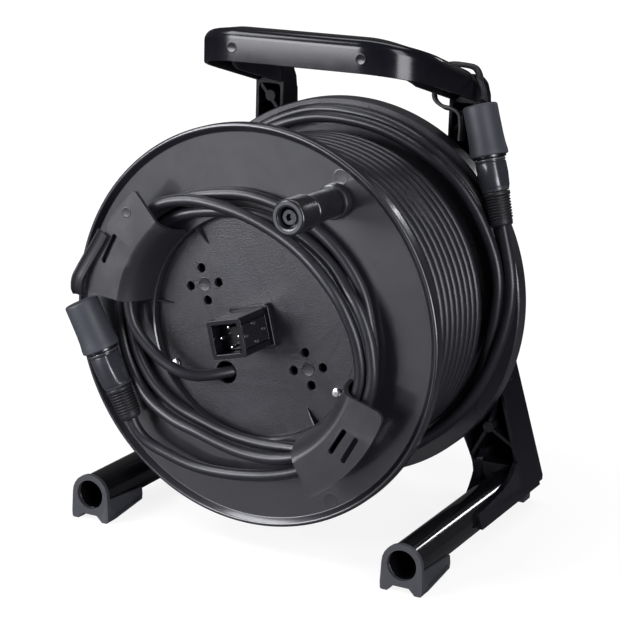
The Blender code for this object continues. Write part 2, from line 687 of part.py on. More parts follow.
def make_shoe(name, centre, stand):
    """A rubber shoe: a ring before the tube's end, and behind it a cradle on two runners."""
    x, z = centre
    sole = -AXLE_HEIGHT - TUBE_Z
    rear_sole = sole + SHOE_REAR_LIFT
    stations = [(SHOE_FRONT_Y + SHOE_FACE - 0.4, 2.0, sole), (SHOE_TOE_Y, 2.6, sole),
                (SHOE_REAR_Y, 4.8, rear_sole)]
    cradle = loft([[(x + px, y, z + pz) for px, pz in shoe_section(drop, low)] for y, drop, low in stations])
    shoe = mesh_object(name, cradle, GREY_RUBBER, stand)

    crown = []
    for k in range(13):
        turn = math.pi * (1.0 - k / 12)
        crown.append((SHOE_HALF_WIDTH * math.cos(turn), SHOE_HALF_WIDTH * math.sin(turn)))
    right = [(px + 0.15, pz) for px, pz in shoe_rows(sole)]
    face = crown + right + [(-px, pz) for px, pz in reversed(right)]
    ring = prism([(x + px, z + pz) for px, pz in face], SHOE_FRONT_Y, SHOE_FRONT_Y + SHOE_FACE)
    combine(shoe, cutter(name + "_face", ring, stand), "UNION")

    opening = TUBE_RADIUS - TUBE_WALL
    bore = spindle([(opening, SHOE_FRONT_Y - 4.0), (opening, SHOE_FRONT_Y + SHOE_FACE + 2.0)], 24, centre)
    floor_x = SHOE_HALF_WIDTH + 0.4 - GROOVE_DEPTH
    middle = [(SHOE_TOE_Y, sole + 5.4), (SHOE_REAR_Y - 6.0, rear_sole + 3.8)]
    (y0, z0), (y1, z1) = middle
    h = GROOVE_HALF_HEIGHT
    bar = [(y0 - h, z0), (y0, z0 + h), (y1, z1 + h * 0.8), (y1 + h, z1), (y1, z1 - h * 0.8), (y0, z0 - h)]
    cuts = [bore]
    for sign in (1, -1):
        cuts.append(loft([[(x + sign * px, y, z + pz) for y, pz in bar] for px in (floor_x, floor_x + 4.0)]))
    combine(shoe, cutter(name + "_cuts", joined(*cuts), stand), "DIFFERENCE")


def make_rear_pad(name, centre, stand):
    """A plug in the tube's rear end with a flat head and a heel that holds this end as high as the shoes do."""
    x, z = centre
    low = -AXLE_HEIGHT - TUBE_Z
    half = HEEL_HALF_WIDTH
    hug = TUBE_RADIUS + GAP
    head_front = TUBE_REAR_Y + GAP
    tab = [(half, low + 0.8), (half - 0.8, low), (0.8 - half, low), (-half, low + 0.8)]
    head = list(tab)
    start = math.degrees(math.acos(half / TUBE_RADIUS))
    for k in range(17):
        turn = math.radians(180.0 + start - (180.0 + 2 * start) * k / 16)
        head.append((TUBE_RADIUS * math.cos(turn), TUBE_RADIUS * math.sin(turn)))
    heel = list(tab)
    spread = math.degrees(math.asin(half / hug))
    for k in range(5):
        turn = math.radians(270.0 - spread + 2 * spread * k / 4)
        heel.append((hug * math.cos(turn), hug * math.sin(turn)))
    pad = mesh_object(name, prism([(x + px, z + pz) for px, pz in head], head_front, head_front + PAD_WALL),
                      GREY_RUBBER, stand)
    fit = TUBE_RADIUS - TUBE_WALL - GAP
    plug = spindle([(fit - 0.6, head_front - PLUG_LENGTH), (fit, head_front - PLUG_LENGTH + 0.6),
                    (fit, head_front + 1.0)], 24, centre)
    foot = prism([(x + px, z + pz) for px, pz in heel], head_front - HEEL_LENGTH, head_front + 1.0)
    combine(pad, cutter(name + "_plug", joined(plug, foot), stand), "UNION", True)


def make_tubes_and_shoes(stand):
    bore = TUBE_RADIUS - TUBE_WALL
    tube = [(TUBE_RADIUS, TUBE_FRONT_Y), (TUBE_RADIUS, TUBE_REAR_Y), (bore, TUBE_REAR_Y), (bore, TUBE_FRONT_Y)]
    for name, sign in (("right", 1), ("left", -1)):
        centre = (sign * TUBE_X, TUBE_Z)
        mesh_object(name + "_foot_tube", turned(tube, 28, centre), TUBE_METAL, stand)
        make_shoe(name + "_foot_shoe", centre, stand)
        make_rear_pad(name + "_rear_pad", centre, stand)


def make_axle(stand, drum):
    rear = boss_back_y()
    mesh_object("axle", spindle([(AXLE_RADIUS - 1.0, AXLE_FRONT_Y), (AXLE_RADIUS, AXLE_FRONT_Y + 1.0),
                                 (AXLE_RADIUS, rear + 3.4), (AXLE_RADIUS - 1.0, rear + 4.4)], 24), STEEL, stand)
    bore = AXLE_RADIUS + GAP
    mesh_object("rear_axle_washer", turned([(bore, rear + GAP), (16.0, rear + GAP), (16.0, rear + 2.2),
                                            (bore, rear + 2.2)], 24), STEEL, stand)
    nut_bore = bore / math.cos(math.pi / 6) + 0.2
    mesh_object("rear_axle_nut", turned([(nut_bore, rear + 2.5), (14.0, rear + 2.5), (14.4, rear + 3.2),
                                         (14.4, rear + 6.4), (13.4, rear + 7.0), (nut_bore, rear + 7.0)], 6),
                STEEL, stand, 20.0)
    mesh_object("front_axle_ring", turned([(bore, WEB_Y - 3.8), (14.0, WEB_Y - 3.8), (14.0, WEB_Y - 0.9),
                                           (bore, WEB_Y - 0.9)], 24), STEEL, stand)
    mesh_object("front_bush", turned([(bore, WEB_Y - 0.6), (BUSH_RADIUS - GAP + 2.6, WEB_Y - 0.6),
                                      (BUSH_RADIUS - GAP + 2.6, WEB_Y - GAP), (BUSH_RADIUS - GAP, WEB_Y - GAP),
                                      (BUSH_RADIUS - GAP, WEB_Y + 9.0), (bore, WEB_Y + 9.0)], 24),
                PALE_PLASTIC, drum)
    mesh_object("rear_bush", turned([(bore, DRUM_BACK_Y - 2.0), (BUSH_RADIUS - GAP, DRUM_BACK_Y - 2.0),
                                     (BUSH_RADIUS - GAP, DRUM_BACK_Y + FLANGE_WALL + GAP),
                                     (BUSH_RADIUS + 2.6, DRUM_BACK_Y + FLANGE_WALL + GAP),
                                     (BUSH_RADIUS + 2.6, DRUM_BACK_Y + FLANGE_WALL + 2.6),
                                     (bore, DRUM_BACK_Y + FLANGE_WALL + 2.6)], 24), PALE_PLASTIC, drum)


def make_flanges(drum):
    lip = FLANGE_RADIUS - 1.7
    collar = RECESS_RADIUS + FLANGE_WALL
    inside_rim = FLANGE_RADIUS - FLANGE_WALL
    front = [(RECESS_RADIUS, LIP_DEPTH), (lip - LIP_SLOPE, LIP_DEPTH), (lip, 0.0), (FLANGE_RADIUS - 0.3, 0.0),
             (FLANGE_RADIUS, 0.4), (FLANGE_RADIUS, FRONT_RIM_WIDTH), (inside_rim, FRONT_RIM_WIDTH),
             (inside_rim, PLATE_BACK_Y), (collar, PLATE_BACK_Y),
             (collar, HUB_PLATE_Y + HUB_PLATE_WALL), (RECESS_RADIUS, HUB_PLATE_Y + HUB_PLATE_WALL)]
    mesh_object("front_flange", turned(front, 60), BLACK_PLASTIC, drum)
    back = DRUM_BACK_Y
    rear = [(BUSH_RADIUS, back), (FLANGE_RADIUS + 1.0, back), (FLANGE_RADIUS + 1.0, back + REAR_RIM_WIDTH),
            (FLANGE_RADIUS - 2.0, back + REAR_RIM_WIDTH), (FLANGE_RADIUS - 2.0, back + FLANGE_WALL),
            (BUSH_RADIUS, back + FLANGE_WALL)]
    mesh_object("rear_flange", turned(rear, 60), BLACK_PLASTIC, drum)
    start = HUB_PLATE_Y + HUB_PLATE_WALL + GAP
    inside = BARREL_RADIUS - BARREL_WALL
    web_back = WEB_Y + 4.0
    barrel = [(64.0, start), (BARREL_RADIUS, start), (BARREL_RADIUS, back - GAP), (inside, back - GAP),
              (inside, web_back), (16.0, web_back), (16.0, web_back + 8.0), (BUSH_RADIUS, web_back + 8.0),
              (BUSH_RADIUS, WEB_Y), (inside, WEB_Y), (inside, start + 3.0), (64.0, start + 3.0)]
    mesh_object("drum_barrel", turned(barrel, 24), BLACK_PLASTIC, drum)
    core_outer = WINDING_RADIUS * math.cos(math.pi / TURN_STEPS) - CABLE_RADIUS - GAP
    core = [(BARREL_RADIUS + GAP, PLATE_BACK_Y + GAP), (core_outer, PLATE_BACK_Y + GAP), (core_outer, back - GAP),
            (BARREL_RADIUS + GAP, back - GAP)]
    mesh_object("winding_core", turned(core, 48), CABLE_SKIN, drum)


def make_hub(drum):
    plate = mesh_object("hub_plate", spindle([(RECESS_RADIUS - GAP, HUB_PLATE_Y),
                                              (RECESS_RADIUS - GAP, HUB_PLATE_Y + HUB_PLATE_WALL)], 60),
                        BLACK_PLASTIC, drum)
    front = HUB_PLATE_Y - 2.0
    behind = HUB_PLATE_Y + HUB_PLATE_WALL + 2.0
    holes = [spindle([(CABLE_HOLE_RADIUS, front), (CABLE_HOLE_RADIUS, behind)], 32, CABLE_HOLE)]
    for group in (-31.0, 149.0):
        centre = polar(group + 1.0, HOLE_GROUP_RADIUS, 0.0)
        for k in range(4):
            spot = polar(PATTERN_TURN + 90.0 * k, HOLE_CIRCLE_RADIUS, 0.0)
            holes.append(spindle([(HOLE_RADIUS, front), (HOLE_RADIUS, behind)], 14,
                                 (centre[0] + spot[0], centre[2] + spot[2])))
    combine(plate, cutter("hub_holes", joined(*holes), drum), "DIFFERENCE")

    head = [(2.6, HUB_PLATE_Y - 2.7), (3.35, HUB_PLATE_Y - 2.1), (3.35, HUB_PLATE_Y - GAP)]
    for number, angle in enumerate((-30.0, 90.0, 210.0), 1):
        spot = polar(angle, HUB_SCREW_CIRCLE, 0.0)
        mesh_object("hub_screw_" + str(number), spindle(head, 14, (spot[0], spot[2])), STEEL, drum)

    make_centre_block(drum)


def pattern_point(x, z):
    """A point of the hub's pattern, which is turned about the axle."""
    turn = math.radians(PATTERN_TURN)
    return (x * math.cos(turn) - z * math.sin(turn), x * math.sin(turn) + z * math.cos(turn))


def square(side):
    half = side / 2
    return [pattern_point(x, z) for x, z in ((half, half), (half, -half), (-half, -half), (-half, half))]


def make_centre_block(drum):
    """A square socket on a base, with four pins inside and a plate with four studs in its right side."""

    base_back = HUB_PLATE_Y - GAP
    base_front = base_back - BASE_HEIGHT
    mesh_object("block_base", prism(rounded(square(BASE_SIDE), 2.4), base_front, base_back), BLACK_PLASTIC, drum)
    block = mesh_object("centre_block", prism(rounded(square(BLOCK_SIDE), 2.0), BLOCK_FRONT_Y, base_front - GAP),
                        BLACK_PLASTIC, drum)
    inner = BLOCK_SIDE - 2 * BLOCK_WALL
    floor_y = BLOCK_FRONT_Y + SOCKET_DEPTH
    side_face = BLOCK_SIDE / 2
    room_floor = side_face - SIDE_PLATE_DEPTH - GAP
    room_half = SIDE_PLATE_HALF + GAP
    room = [(room_floor, room_half), (side_face + 4.0, room_half), (side_face + 4.0, -room_half),
            (room_floor, -room_half)]
    cuts = [prism(rounded(square(inner), 1.2), BLOCK_FRONT_Y - 4.0, floor_y),
            prism([pattern_point(*corner) for corner in room], SIDE_PLATE_FRONT_Y - GAP,
                  SIDE_PLATE_BACK_Y + GAP)]
    combine(block, cutter("block_socket", joined(*cuts), drum), "DIFFERENCE")

    contacts = mesh_object("block_contacts", prism(rounded(square(inner - 2 * GAP), 1.4), floor_y - GAP - 1.6,
                                                   floor_y - GAP), PALE_PLASTIC, drum)
    pins = []
    for k in range(4):
        spot = polar(PATTERN_TURN + 90.0 * k, PIN_CIRCLE, 0.0)
        pins.append(spindle([(PIN_RADIUS * 0.6, floor_y - 8.4), (PIN_RADIUS, floor_y - 7.6),
                             (PIN_RADIUS, floor_y - 1.0)], 12, (spot[0], spot[2])))
    combine(contacts, cutter("contact_pins", joined(*pins), drum), "UNION")

    flat = [(side_face - SIDE_PLATE_DEPTH, SIDE_PLATE_HALF), (side_face - GAP, SIDE_PLATE_HALF),
            (side_face - GAP, -SIDE_PLATE_HALF), (side_face - SIDE_PLATE_DEPTH, -SIDE_PLATE_HALF)]
    plate = mesh_object("side_contacts", prism([pattern_point(*corner) for corner in flat], SIDE_PLATE_FRONT_Y,
                                               SIDE_PLATE_BACK_Y), PALE_PLASTIC, drum)
    middle = (SIDE_PLATE_FRONT_Y + SIDE_PLATE_BACK_Y) / 2
    studs = []
    for y, z in ((middle - STUD_SPREAD_Y, 0.0), (middle + STUD_SPREAD_Y, 0.0), (middle, STUD_SPREAD_Z),
                 (middle, -STUD_SPREAD_Z)):
        foot = pattern_point(side_face - 0.8, z)
        top = pattern_point(side_face, z)
        reach = 0.5 + STUD_HEIGHT
        stud = spindle([(STUD_RADIUS, 0.0), (STUD_RADIUS, reach - 0.4), (STUD_RADIUS * 0.6, reach)], 12)
        studs.append(moved(stud, along((foot[0], y, foot[1]), (top[0], y, top[1]))))
    combine(plate, cutter("side_studs", joined(*studs), drum), "UNION")


def make_holders(drum):
    """Two hooks that hold the inner tail: a wall that flares forward and turns into a flat front plate."""
    foot = HOLDER_FOOT_RADIUS
    t = HOLDER_WALL
    y = HOLDER_FRONT_Y
    base = LIP_DEPTH - GAP
    profile = [(foot, base), (foot + 1.0, -2.0), (foot + 3.2, -10.0), (foot + 6.2, -15.5), (foot + 10.0, y + 1.0),
               (foot + 13.6, y), (115.0, y), (115.0, y + t), (foot + 14.4, y + t), (foot + 11.6, y + t + 0.9),
               (foot + 8.2, -13.0), (foot + 5.4, -8.0), (foot + 3.6, -1.5), (foot + t, base)]
    slots = (((-90.0, 55.5), (-100.0, 35.5)), ((-97.5, 61.0), (-106.5, 44.0)),
             ((83.0, -48.0), (72.5, -65.5)), ((91.5, -52.0), (81.5, -70.0)))
    for name, start, cuts in (("upper_holder", 131.0, slots[:2]), ("lower_holder", -59.0, slots[2:])):
        holder = mesh_object(name, turned(profile, 12, (0.0, 0.0), start, 42.0), BLACK_PLASTIC, drum)
        bars = [rib(a, b, 3.6, y - 3.0, y + t + 3.0) for a, b in cuts]
        combine(holder, cutter(name + "_slots", joined(*bars), drum), "DIFFERENCE")


def make_crank(drum, knob_axis):
    spot = polar(CRANK_ANGLE, CRANK_CIRCLE, 0.0)
    centre = (spot[0], spot[2])
    shank = PIN_SHANK_RADIUS
    inner = shank + GAP
    pin = [(shank - 0.5, KNOB_FRONT_Y + 7.2), (shank, KNOB_FRONT_Y + 7.7), (shank, -2.9), (10.4, -2.9), (11.4, -2.2),
           (11.6, LIP_DEPTH - GAP)]
    mesh_object("crank_pin", spindle(pin, 24, centre), BLACK_PLASTIC, drum)
    f = KNOB_FRONT_Y
    r = KNOB_RADIUS
    knob = [(6.9, f + 0.4), (7.3, f), (r - 1.0, f), (r, f + 1.2), (r + 0.3, f + 8.0), (r + 0.3, f + 20.0),
            (r - 0.6, f + 22.0), (8.2, f + 22.6), (8.2, f + 25.0), (9.2, f + 25.6), (9.4, -6.0), (8.8, -3.2),
            (inner, -3.2), (inner, f + 7.2), (6.9, f + 7.2)]
    mesh_object("crank_knob", turned(knob, 24), KNOB_PLASTIC, knob_axis)
    screw = mesh_object("crank_screw", spindle([(4.6, f + 2.6), (5.2, f + 3.2), (5.2, f + 6.9)], 24, centre),
                        STEEL, drum)
    combine(screw, cutter("screw_socket", spindle([(2.6, f), (2.6, f + 5.2)], 6, centre), drum), "DIFFERENCE")


def make_connector(prefix, cap_top, boot_end, parent):
    """A rugged connector with its cap on. The stations run along y from the cap's closed end."""
    place = along(cap_top, boot_end)
    length = (Vector(boot_end) - Vector(cap_top)).length
    lip = CAP_LENGTH
    cap = [(CAP_TOP_RADIUS - 2.2, 0.0), (CAP_TOP_RADIUS - 0.6, 0.7), (CAP_TOP_RADIUS, 2.4),
           (CAP_TOP_RADIUS, lip - 10.0), (CAP_LIP_RADIUS, lip - 5.0), (CAP_LIP_RADIUS, lip),
           (CAP_LIP_RADIUS - 0.8, lip), (CAP_LIP_RADIUS - 1.0, lip - 5.0), (CAP_TOP_RADIUS - 1.4, lip - 10.0),
           (CAP_TOP_RADIUS - 1.4, 2.6)]
    mesh_object(prefix + "_cap", moved(spindle(cap, 20), place), GREY_RUBBER, parent)
    nose = CAP_TOP_RADIUS - 1.4 - GAP
    ring = [(nose - 1.0, 2.9), (nose, 4.0), (nose, lip - 9.0), (nose + 1.2, lip - 4.4), (nose + 1.2, lip + 1.2),
            (nose + 0.8, lip + 1.8)]
    mesh_object(prefix + "_ring", moved(spindle(ring, 16), place), STEEL, parent)
    boot_start = length - 23.0
    shell = [(SHELL_RADIUS - 0.6, lip + 2.1), (SHELL_RADIUS + 0.4, lip + 2.8), (SHELL_RADIUS + 0.4, lip + 6.0),
             (SHELL_RADIUS, lip + 6.6), (SHELL_RADIUS, boot_start - 2.0), (SHELL_RADIUS - 0.7, boot_start - GAP)]
    body = mesh_object(prefix + "_shell", moved(spindle(shell, 20), place), SHELL_METAL, parent)
    flats = []
    for sign in (1, -1):
        a = SHELL_RADIUS - 1.0
        b = SHELL_RADIUS + 3.0
        corners = [(sign * a, -12.0), (sign * b, -12.0), (sign * b, 12.0), (sign * a, 12.0)]
        flats.append(prism(corners, lip + 8.4, boot_start - 3.4))
    combine(body, cutter(prefix + "_flats", moved(joined(*flats), place), parent), "DIFFERENCE")
    boot = [(BOOT_RADIUS + 1.2, boot_start), (BOOT_RADIUS + 1.6, boot_start + 1.0),
            (BOOT_RADIUS + 1.6, boot_start + 3.0), (BOOT_RADIUS + 0.4, boot_start + 3.8)]
    for k in range(6):
        s = boot_start + 4.4 + k * 2.5
        r = BOOT_RADIUS + 1.0 - 0.25 * k
        boot += [(r, s), (r, s + 1.4), (r - 0.9, s + 1.9)]
    boot += [(BOOT_END_RADIUS + 0.4, length - 3.0), (BOOT_END_RADIUS, length)]
    mesh_object(prefix + "_boot", moved(spindle(boot, 12), place), BLACK_RUBBER, parent)


def make_strap(name, points, side, width, parent):
    """A flat band along a smooth line. side is the way its width points at the start."""
    route = smooth_route(points, 4.4)
    half = STRAP_THICKNESS / 2
    wide = width / 2
    section = [(-wide, -half * 0.4), (0.8 - wide, -half), (wide - 0.8, -half), (wide, -half * 0.4),
               (wide, half * 0.4), (wide - 0.8, half), (0.8 - wide, half), (-wide, half * 0.4)]
    across = Vector(side)
    before = (route[1] - route[0]).normalized()
    rings = []
    for k, spot in enumerate(route):
        ahead = (route[min(k + 1, len(route) - 1)] - route[max(k - 1, 0)]).normalized()
        across = before.rotation_difference(ahead) @ across
        across = (across - ahead * across.dot(ahead)).normalized()
        out = ahead.cross(across)
        rings.append([tuple(spot + across * u + out * v) for u, v in section])
        before = ahead
    return mesh_object(name, loft(rings), GREY_RUBBER, parent)


def report_cord(name, route):
    print(name, "length", round(route_length(route) / 1000, 4), "m, points", len(route),
          "least gap", round(least_gap(route, CABLE_DIAMETER), 2), "mm")


def main():
    clear_scene()
    stand = empty("stand", (0.0, -CENTRE_Y, AXLE_HEIGHT))
    drum = empty("drum_axis", (0.0, 0.0, 0.0), stand)
    knob_spot = polar(CRANK_ANGLE, CRANK_CIRCLE, 0.0)
    knob_axis = empty("knob_axis", knob_spot, drum)

    make_frame(stand)
    make_handle(stand)
    make_tubes_and_shoes(stand)
    make_axle(stand, drum)
    make_flanges(drum)
    make_hub(drum)
    make_holders(drum)
    make_crank(drum, knob_axis)
    make_connector("outer_connector", OUTER_CAP_TOP, OUTER_BOOT_END, stand)
    make_connector("inner_connector", INNER_CAP_TOP, INNER_BOOT_END, drum)
    make_strap("outer_strap", OUTER_STRAP, (0.0, 1.0, 0.0), OUTER_STRAP_WIDTH, stand)
    make_strap("inner_strap", INNER_STRAP, (0.87, 0.0, -0.5), INNER_STRAP_WIDTH, drum)

    turns = winding_route(TURN_STEPS)
    outer = outer_tail_route()
    inner = inner_tail_route()
    cord("winding_turns", turns, CABLE_SKIN, drum, 1)
    cord("outer_tail", outer, CABLE_SKIN, stand, 2)
    cord("inner_tail", inner, CABLE_SKIN, drum, 2)
    report_cord("winding", turns)
    report_cord("outer tail", outer)
    report_cord("inner tail", inner)


BLACK_PLASTIC = finish("black_plastic", (0.012, 0.012, 0.013), 0.34)
KNOB_PLASTIC = finish("knob_plastic", (0.02, 0.02, 0.022), 0.3)
PALE_PLASTIC = finish("pale_plastic", (0.55, 0.55, 0.52), 0.45)
GREY_RUBBER = finish("grey_rubber", (0.1, 0.1, 0.105), 0.62)
BLACK_RUBBER = finish("black_rubber", (0.02, 0.02, 0.02), 0.55)
TUBE_METAL = finish("tube_coat", (0.01, 0.01, 0.012), 0.18, 0.2)
STEEL = finish("bright_steel", (0.62, 0.62, 0.62), 0.28, 1.0)
SHELL_METAL = finish("shell_coat", (0.015, 0.015, 0.017), 0.2, 0.4)
CABLE_SKIN = finish("cable_skin", (0.016, 0.016, 0.018), 0.42)

main()
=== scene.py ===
# %% [markdown]
# A network cable on a portable drum
#
# The CAD model of the stand, the drum and the two cable ends is the fixed frame of this scene.
# Blender adds what CAD leaves plain: the round, soft-edged look of moulded plastic, the smooth cable,
# the small marks of the mould, and the finishes. First come the frame, its box and a few measures.

# %% Load the frame and keep its box
import math

import bmesh
import bpy
from mathutils import Matrix, Vector, noise


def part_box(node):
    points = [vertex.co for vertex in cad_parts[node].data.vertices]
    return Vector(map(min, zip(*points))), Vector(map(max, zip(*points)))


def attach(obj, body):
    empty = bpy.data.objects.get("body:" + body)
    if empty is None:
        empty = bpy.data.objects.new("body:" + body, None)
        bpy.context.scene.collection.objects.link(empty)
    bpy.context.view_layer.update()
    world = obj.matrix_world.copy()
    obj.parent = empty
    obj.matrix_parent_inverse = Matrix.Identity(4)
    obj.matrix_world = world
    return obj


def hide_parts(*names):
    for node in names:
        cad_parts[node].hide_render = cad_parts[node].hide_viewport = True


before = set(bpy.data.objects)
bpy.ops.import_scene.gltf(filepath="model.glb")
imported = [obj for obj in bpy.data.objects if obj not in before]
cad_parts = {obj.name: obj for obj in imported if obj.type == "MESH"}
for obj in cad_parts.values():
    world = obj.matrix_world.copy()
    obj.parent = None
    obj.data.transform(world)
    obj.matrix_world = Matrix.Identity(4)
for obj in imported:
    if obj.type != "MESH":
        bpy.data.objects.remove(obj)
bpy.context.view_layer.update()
MM = 0.001

# %% [markdown]
# All places below are in drum coordinates, in millimetres: x to the right, y from the drum's front lip
# towards the back, z up, with the axle at x = z = 0. The frame says where that point lies in the world,
# so it is read from the CAD boxes, and nothing has to be fitted by hand.

# %% Drum coordinates
axle_low, axle_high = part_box("axle")
ORIGIN = Vector((0.0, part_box("front_flange")[0].y, (axle_low.z + axle_high.z) / 2))
CABLE_RADIUS = 3.9


def place(point):
    """A point in drum coordinates, in the world and in metres."""
    return ORIGIN + Vector(point) * MM


def polar(angle, radius, y):
    turn = math.radians(angle)
    return (radius * math.cos(turn), y, radius * math.sin(turn))


def show(name, data):
    """Makes an object from a mesh, a curve, a lamp or a camera, and puts it into the scene."""
    piece = bpy.data.objects.new(name, data)
    bpy.context.scene.collection.objects.link(piece)
    return piece


def enrol(piece, body, nodes=()):
    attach(piece, body)
    if nodes:
        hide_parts(*nodes)
    return piece


print("The drum's front lip and axle are at", [round(v, 4) for v in ORIGIN])

# %% [markdown]
# The photograph was taken from the right and a little above, with a long lens. A camera is a point, a
# direction and a lens: the back axis comes from the two angles, and the small roll turns the picture.

# %% Camera
CAMERA_PLACE = Vector((0.5851, -1.0900, 0.4825))
CAMERA_AZIMUTH = math.radians(27.89)
CAMERA_ELEVATION = math.radians(14.92)
CAMERA_ROLL = math.radians(1.54)
CAMERA_LENS = 108.76


def make_camera():
    across = math.cos(CAMERA_ELEVATION)
    back = Vector((math.sin(CAMERA_AZIMUTH) * across, -math.cos(CAMERA_AZIMUTH) * across,
                   math.sin(CAMERA_ELEVATION)))
    right = Vector((math.cos(CAMERA_AZIMUTH), math.sin(CAMERA_AZIMUTH), 0.0))
    up = back.cross(right)
    right, up = (right * math.cos(CAMERA_ROLL) + up * math.sin(CAMERA_ROLL),
                 up * math.cos(CAMERA_ROLL) - right * math.sin(CAMERA_ROLL))
    data = bpy.data.cameras.new("camera")
    data.lens = CAMERA_LENS
    data.sensor_width = 36.0
    data.clip_start = 0.05
    data.clip_end = 50.0
    camera = show("camera", data)
    turn = Matrix((right, up, back)).transposed().to_4x4()
    camera.matrix_world = Matrix.Translation(CAMERA_PLACE) @ turn
    bpy.context.scene.camera = camera


make_camera()
print("Camera distance from the axle:", round((CAMERA_PLACE - ORIGIN).length, 3), "m")

# %% [markdown]
# Every finish and most of the repeated shapes below are node trees, so a few helpers come first: one
# makes a tree with named sockets, one links two nodes, and one gives a socket a number, a colour or a
# link.

# %% Helpers for node trees


def new_tree(kind, name, inputs, outputs):
    """Makes a node tree with named sockets, and returns it with its two end nodes."""
    tree = bpy.data.node_groups.new(name, kind)
    for label, socket_kind, *value in inputs:
        socket = tree.interface.new_socket(label, in_out="INPUT", socket_type=socket_kind)
        if value:
            socket.default_value = value[0]
    for label, socket_kind in outputs:
        tree.interface.new_socket(label, in_out="OUTPUT", socket_type=socket_kind)
    return tree, tree.nodes.new("NodeGroupInput"), tree.nodes.new("NodeGroupOutput")


def add_node(tree, kind, **settings):
    node = tree.nodes.new(kind)
    for name, value in settings.items():
        setattr(node, name, value)
    return node


def wire(tree, source, output, target, entry):
    """Links an output of one node to an input of another."""
    tree.links.new(source.outputs[output], target.inputs[entry])


def feed(tree, socket, value):
    """Gives an input a number, a colour or the output of another node."""
    if isinstance(value, (int, float)):
        socket.default_value = value
    elif isinstance(value, tuple):
        socket.default_value = (*value, 1.0)
    else:
        tree.links.new(value, socket)


def math_node(tree, operation, first, second=0.0, clamp=False):
    node = add_node(tree, "ShaderNodeMath", operation=operation, use_clamp=clamp)
    feed(tree, node.inputs[0], first)
    feed(tree, node.inputs[1], second)
    return node.outputs[0]


def noise_node(tree, vector, scale, detail):
    node = add_node(tree, "ShaderNodeTexNoise")
    for label, value in (("Vector", vector), ("Scale", scale), ("Detail", detail)):
        feed(tree, node.inputs[label], value)
    return node.outputs["Fac"]


def mix_colour(tree, factor, first, second):
    node = add_node(tree, "ShaderNodeMix", data_type="RGBA")
    for label, value in (("Factor", factor), ("A", first), ("B", second)):
        feed(tree, node.inputs[label], value)
    return node.outputs["Result"]


def new_material(name):
    material = bpy.data.materials.new(name)
    material.use_nodes = True
    return material, material.node_tree, material.node_tree.nodes["Principled BSDF"]


# %% [markdown]
# A finish that several pieces share is best built once, as a node group with named inputs. This one is
# the skin of moulded plastic and rubber: a fine grain for the bump, and a slow cloudiness that makes
# the gloss uneven, as on every real moulding. The shader stays outside the group, in each material.

# %% Shared skin of mouldings
CLOUD_SCALE = 22.0
SMEAR_SCALE = 140.0
EDGE_START = 0.52
EDGE_GAIN = 14.0
PALE_SHARE = 0.1


def make_skin_group():
    group, entry, exit_node = new_tree("ShaderNodeTree", "moulded skin", [
        ("Vector", "NodeSocketVector", (0.0, 0.0, 0.0)), ("Grain Scale", "NodeSocketFloat", 900.0),
        ("Grain Sharpness", "NodeSocketFloat", 0.5), ("Base Roughness", "NodeSocketFloat", 0.35),
        ("Roughness Range", "NodeSocketFloat", 0.12), ("Colour", "NodeSocketColor", (0.02, 0.02, 0.02, 1.0)),
        ("Worn Colour", "NodeSocketColor", (0.08, 0.08, 0.08, 1.0)), ("Wear", "NodeSocketFloat", 0.3)],
        [("Colour", "NodeSocketColor"), ("Roughness", "NodeSocketFloat"), ("Height", "NodeSocketFloat")])
    vector = entry.outputs["Vector"]
    cells = add_node(group, "ShaderNodeTexVoronoi")
    wire(group, entry, "Vector", cells, "Vector")
    wire(group, entry, "Grain Scale", cells, "Scale")
    fine = noise_node(group, vector, entry.outputs["Grain Scale"], 3.0)
    pits = math_node(group, "MULTIPLY", cells.outputs["Distance"], entry.outputs["Grain Sharpness"])
    clouds = noise_node(group, vector, CLOUD_SCALE, 4.0)
    smears = noise_node(group, vector, SMEAR_SCALE, 2.0)
    uneven = math_node(group, "SUBTRACT", math_node(group, "ADD", clouds, smears), 1.0)
    swing = math_node(group, "MULTIPLY", uneven, entry.outputs["Roughness Range"])
    edge = add_node(group, "ShaderNodeNewGeometry").outputs["Pointiness"]
    worn = math_node(group, "MULTIPLY", math_node(group, "SUBTRACT", edge, EDGE_START), EDGE_GAIN, True)
    patches = math_node(group, "MULTIPLY", smears, entry.outputs["Wear"])
    worn = math_node(group, "MULTIPLY", worn, patches, True)
    pale = math_node(group, "MULTIPLY", math_node(group, "SUBTRACT", clouds, 0.5), PALE_SHARE, True)
    amount = math_node(group, "ADD", worn, pale, True)
    results = {
        "Colour": mix_colour(group, amount, entry.outputs["Colour"], entry.outputs["Worn Colour"]),
        "Roughness": math_node(group, "ADD", entry.outputs["Base Roughness"], swing, True),
        "Height": math_node(group, "ADD", pits, fine),
    }
    for label, value in results.items():
        feed(group, exit_node.inputs[label], value)
    return group


SKIN = make_skin_group()
print("Skin group:", [item.name for item in SKIN.interface.items_tree])

# %% [markdown]
# Each finish is one material with its own values for the shared skin. Only what changes over the
# surface comes through the group. A value that is the same all over, such as the coat, is set on the
# shader itself. The grain is the number of cells in a metre, and the depth is its height in millimetres.

# %% Materials of plastic, rubber, coat and cable
COAT_ROUGHNESS = 0.12
BUMP_STRENGTH = 0.6


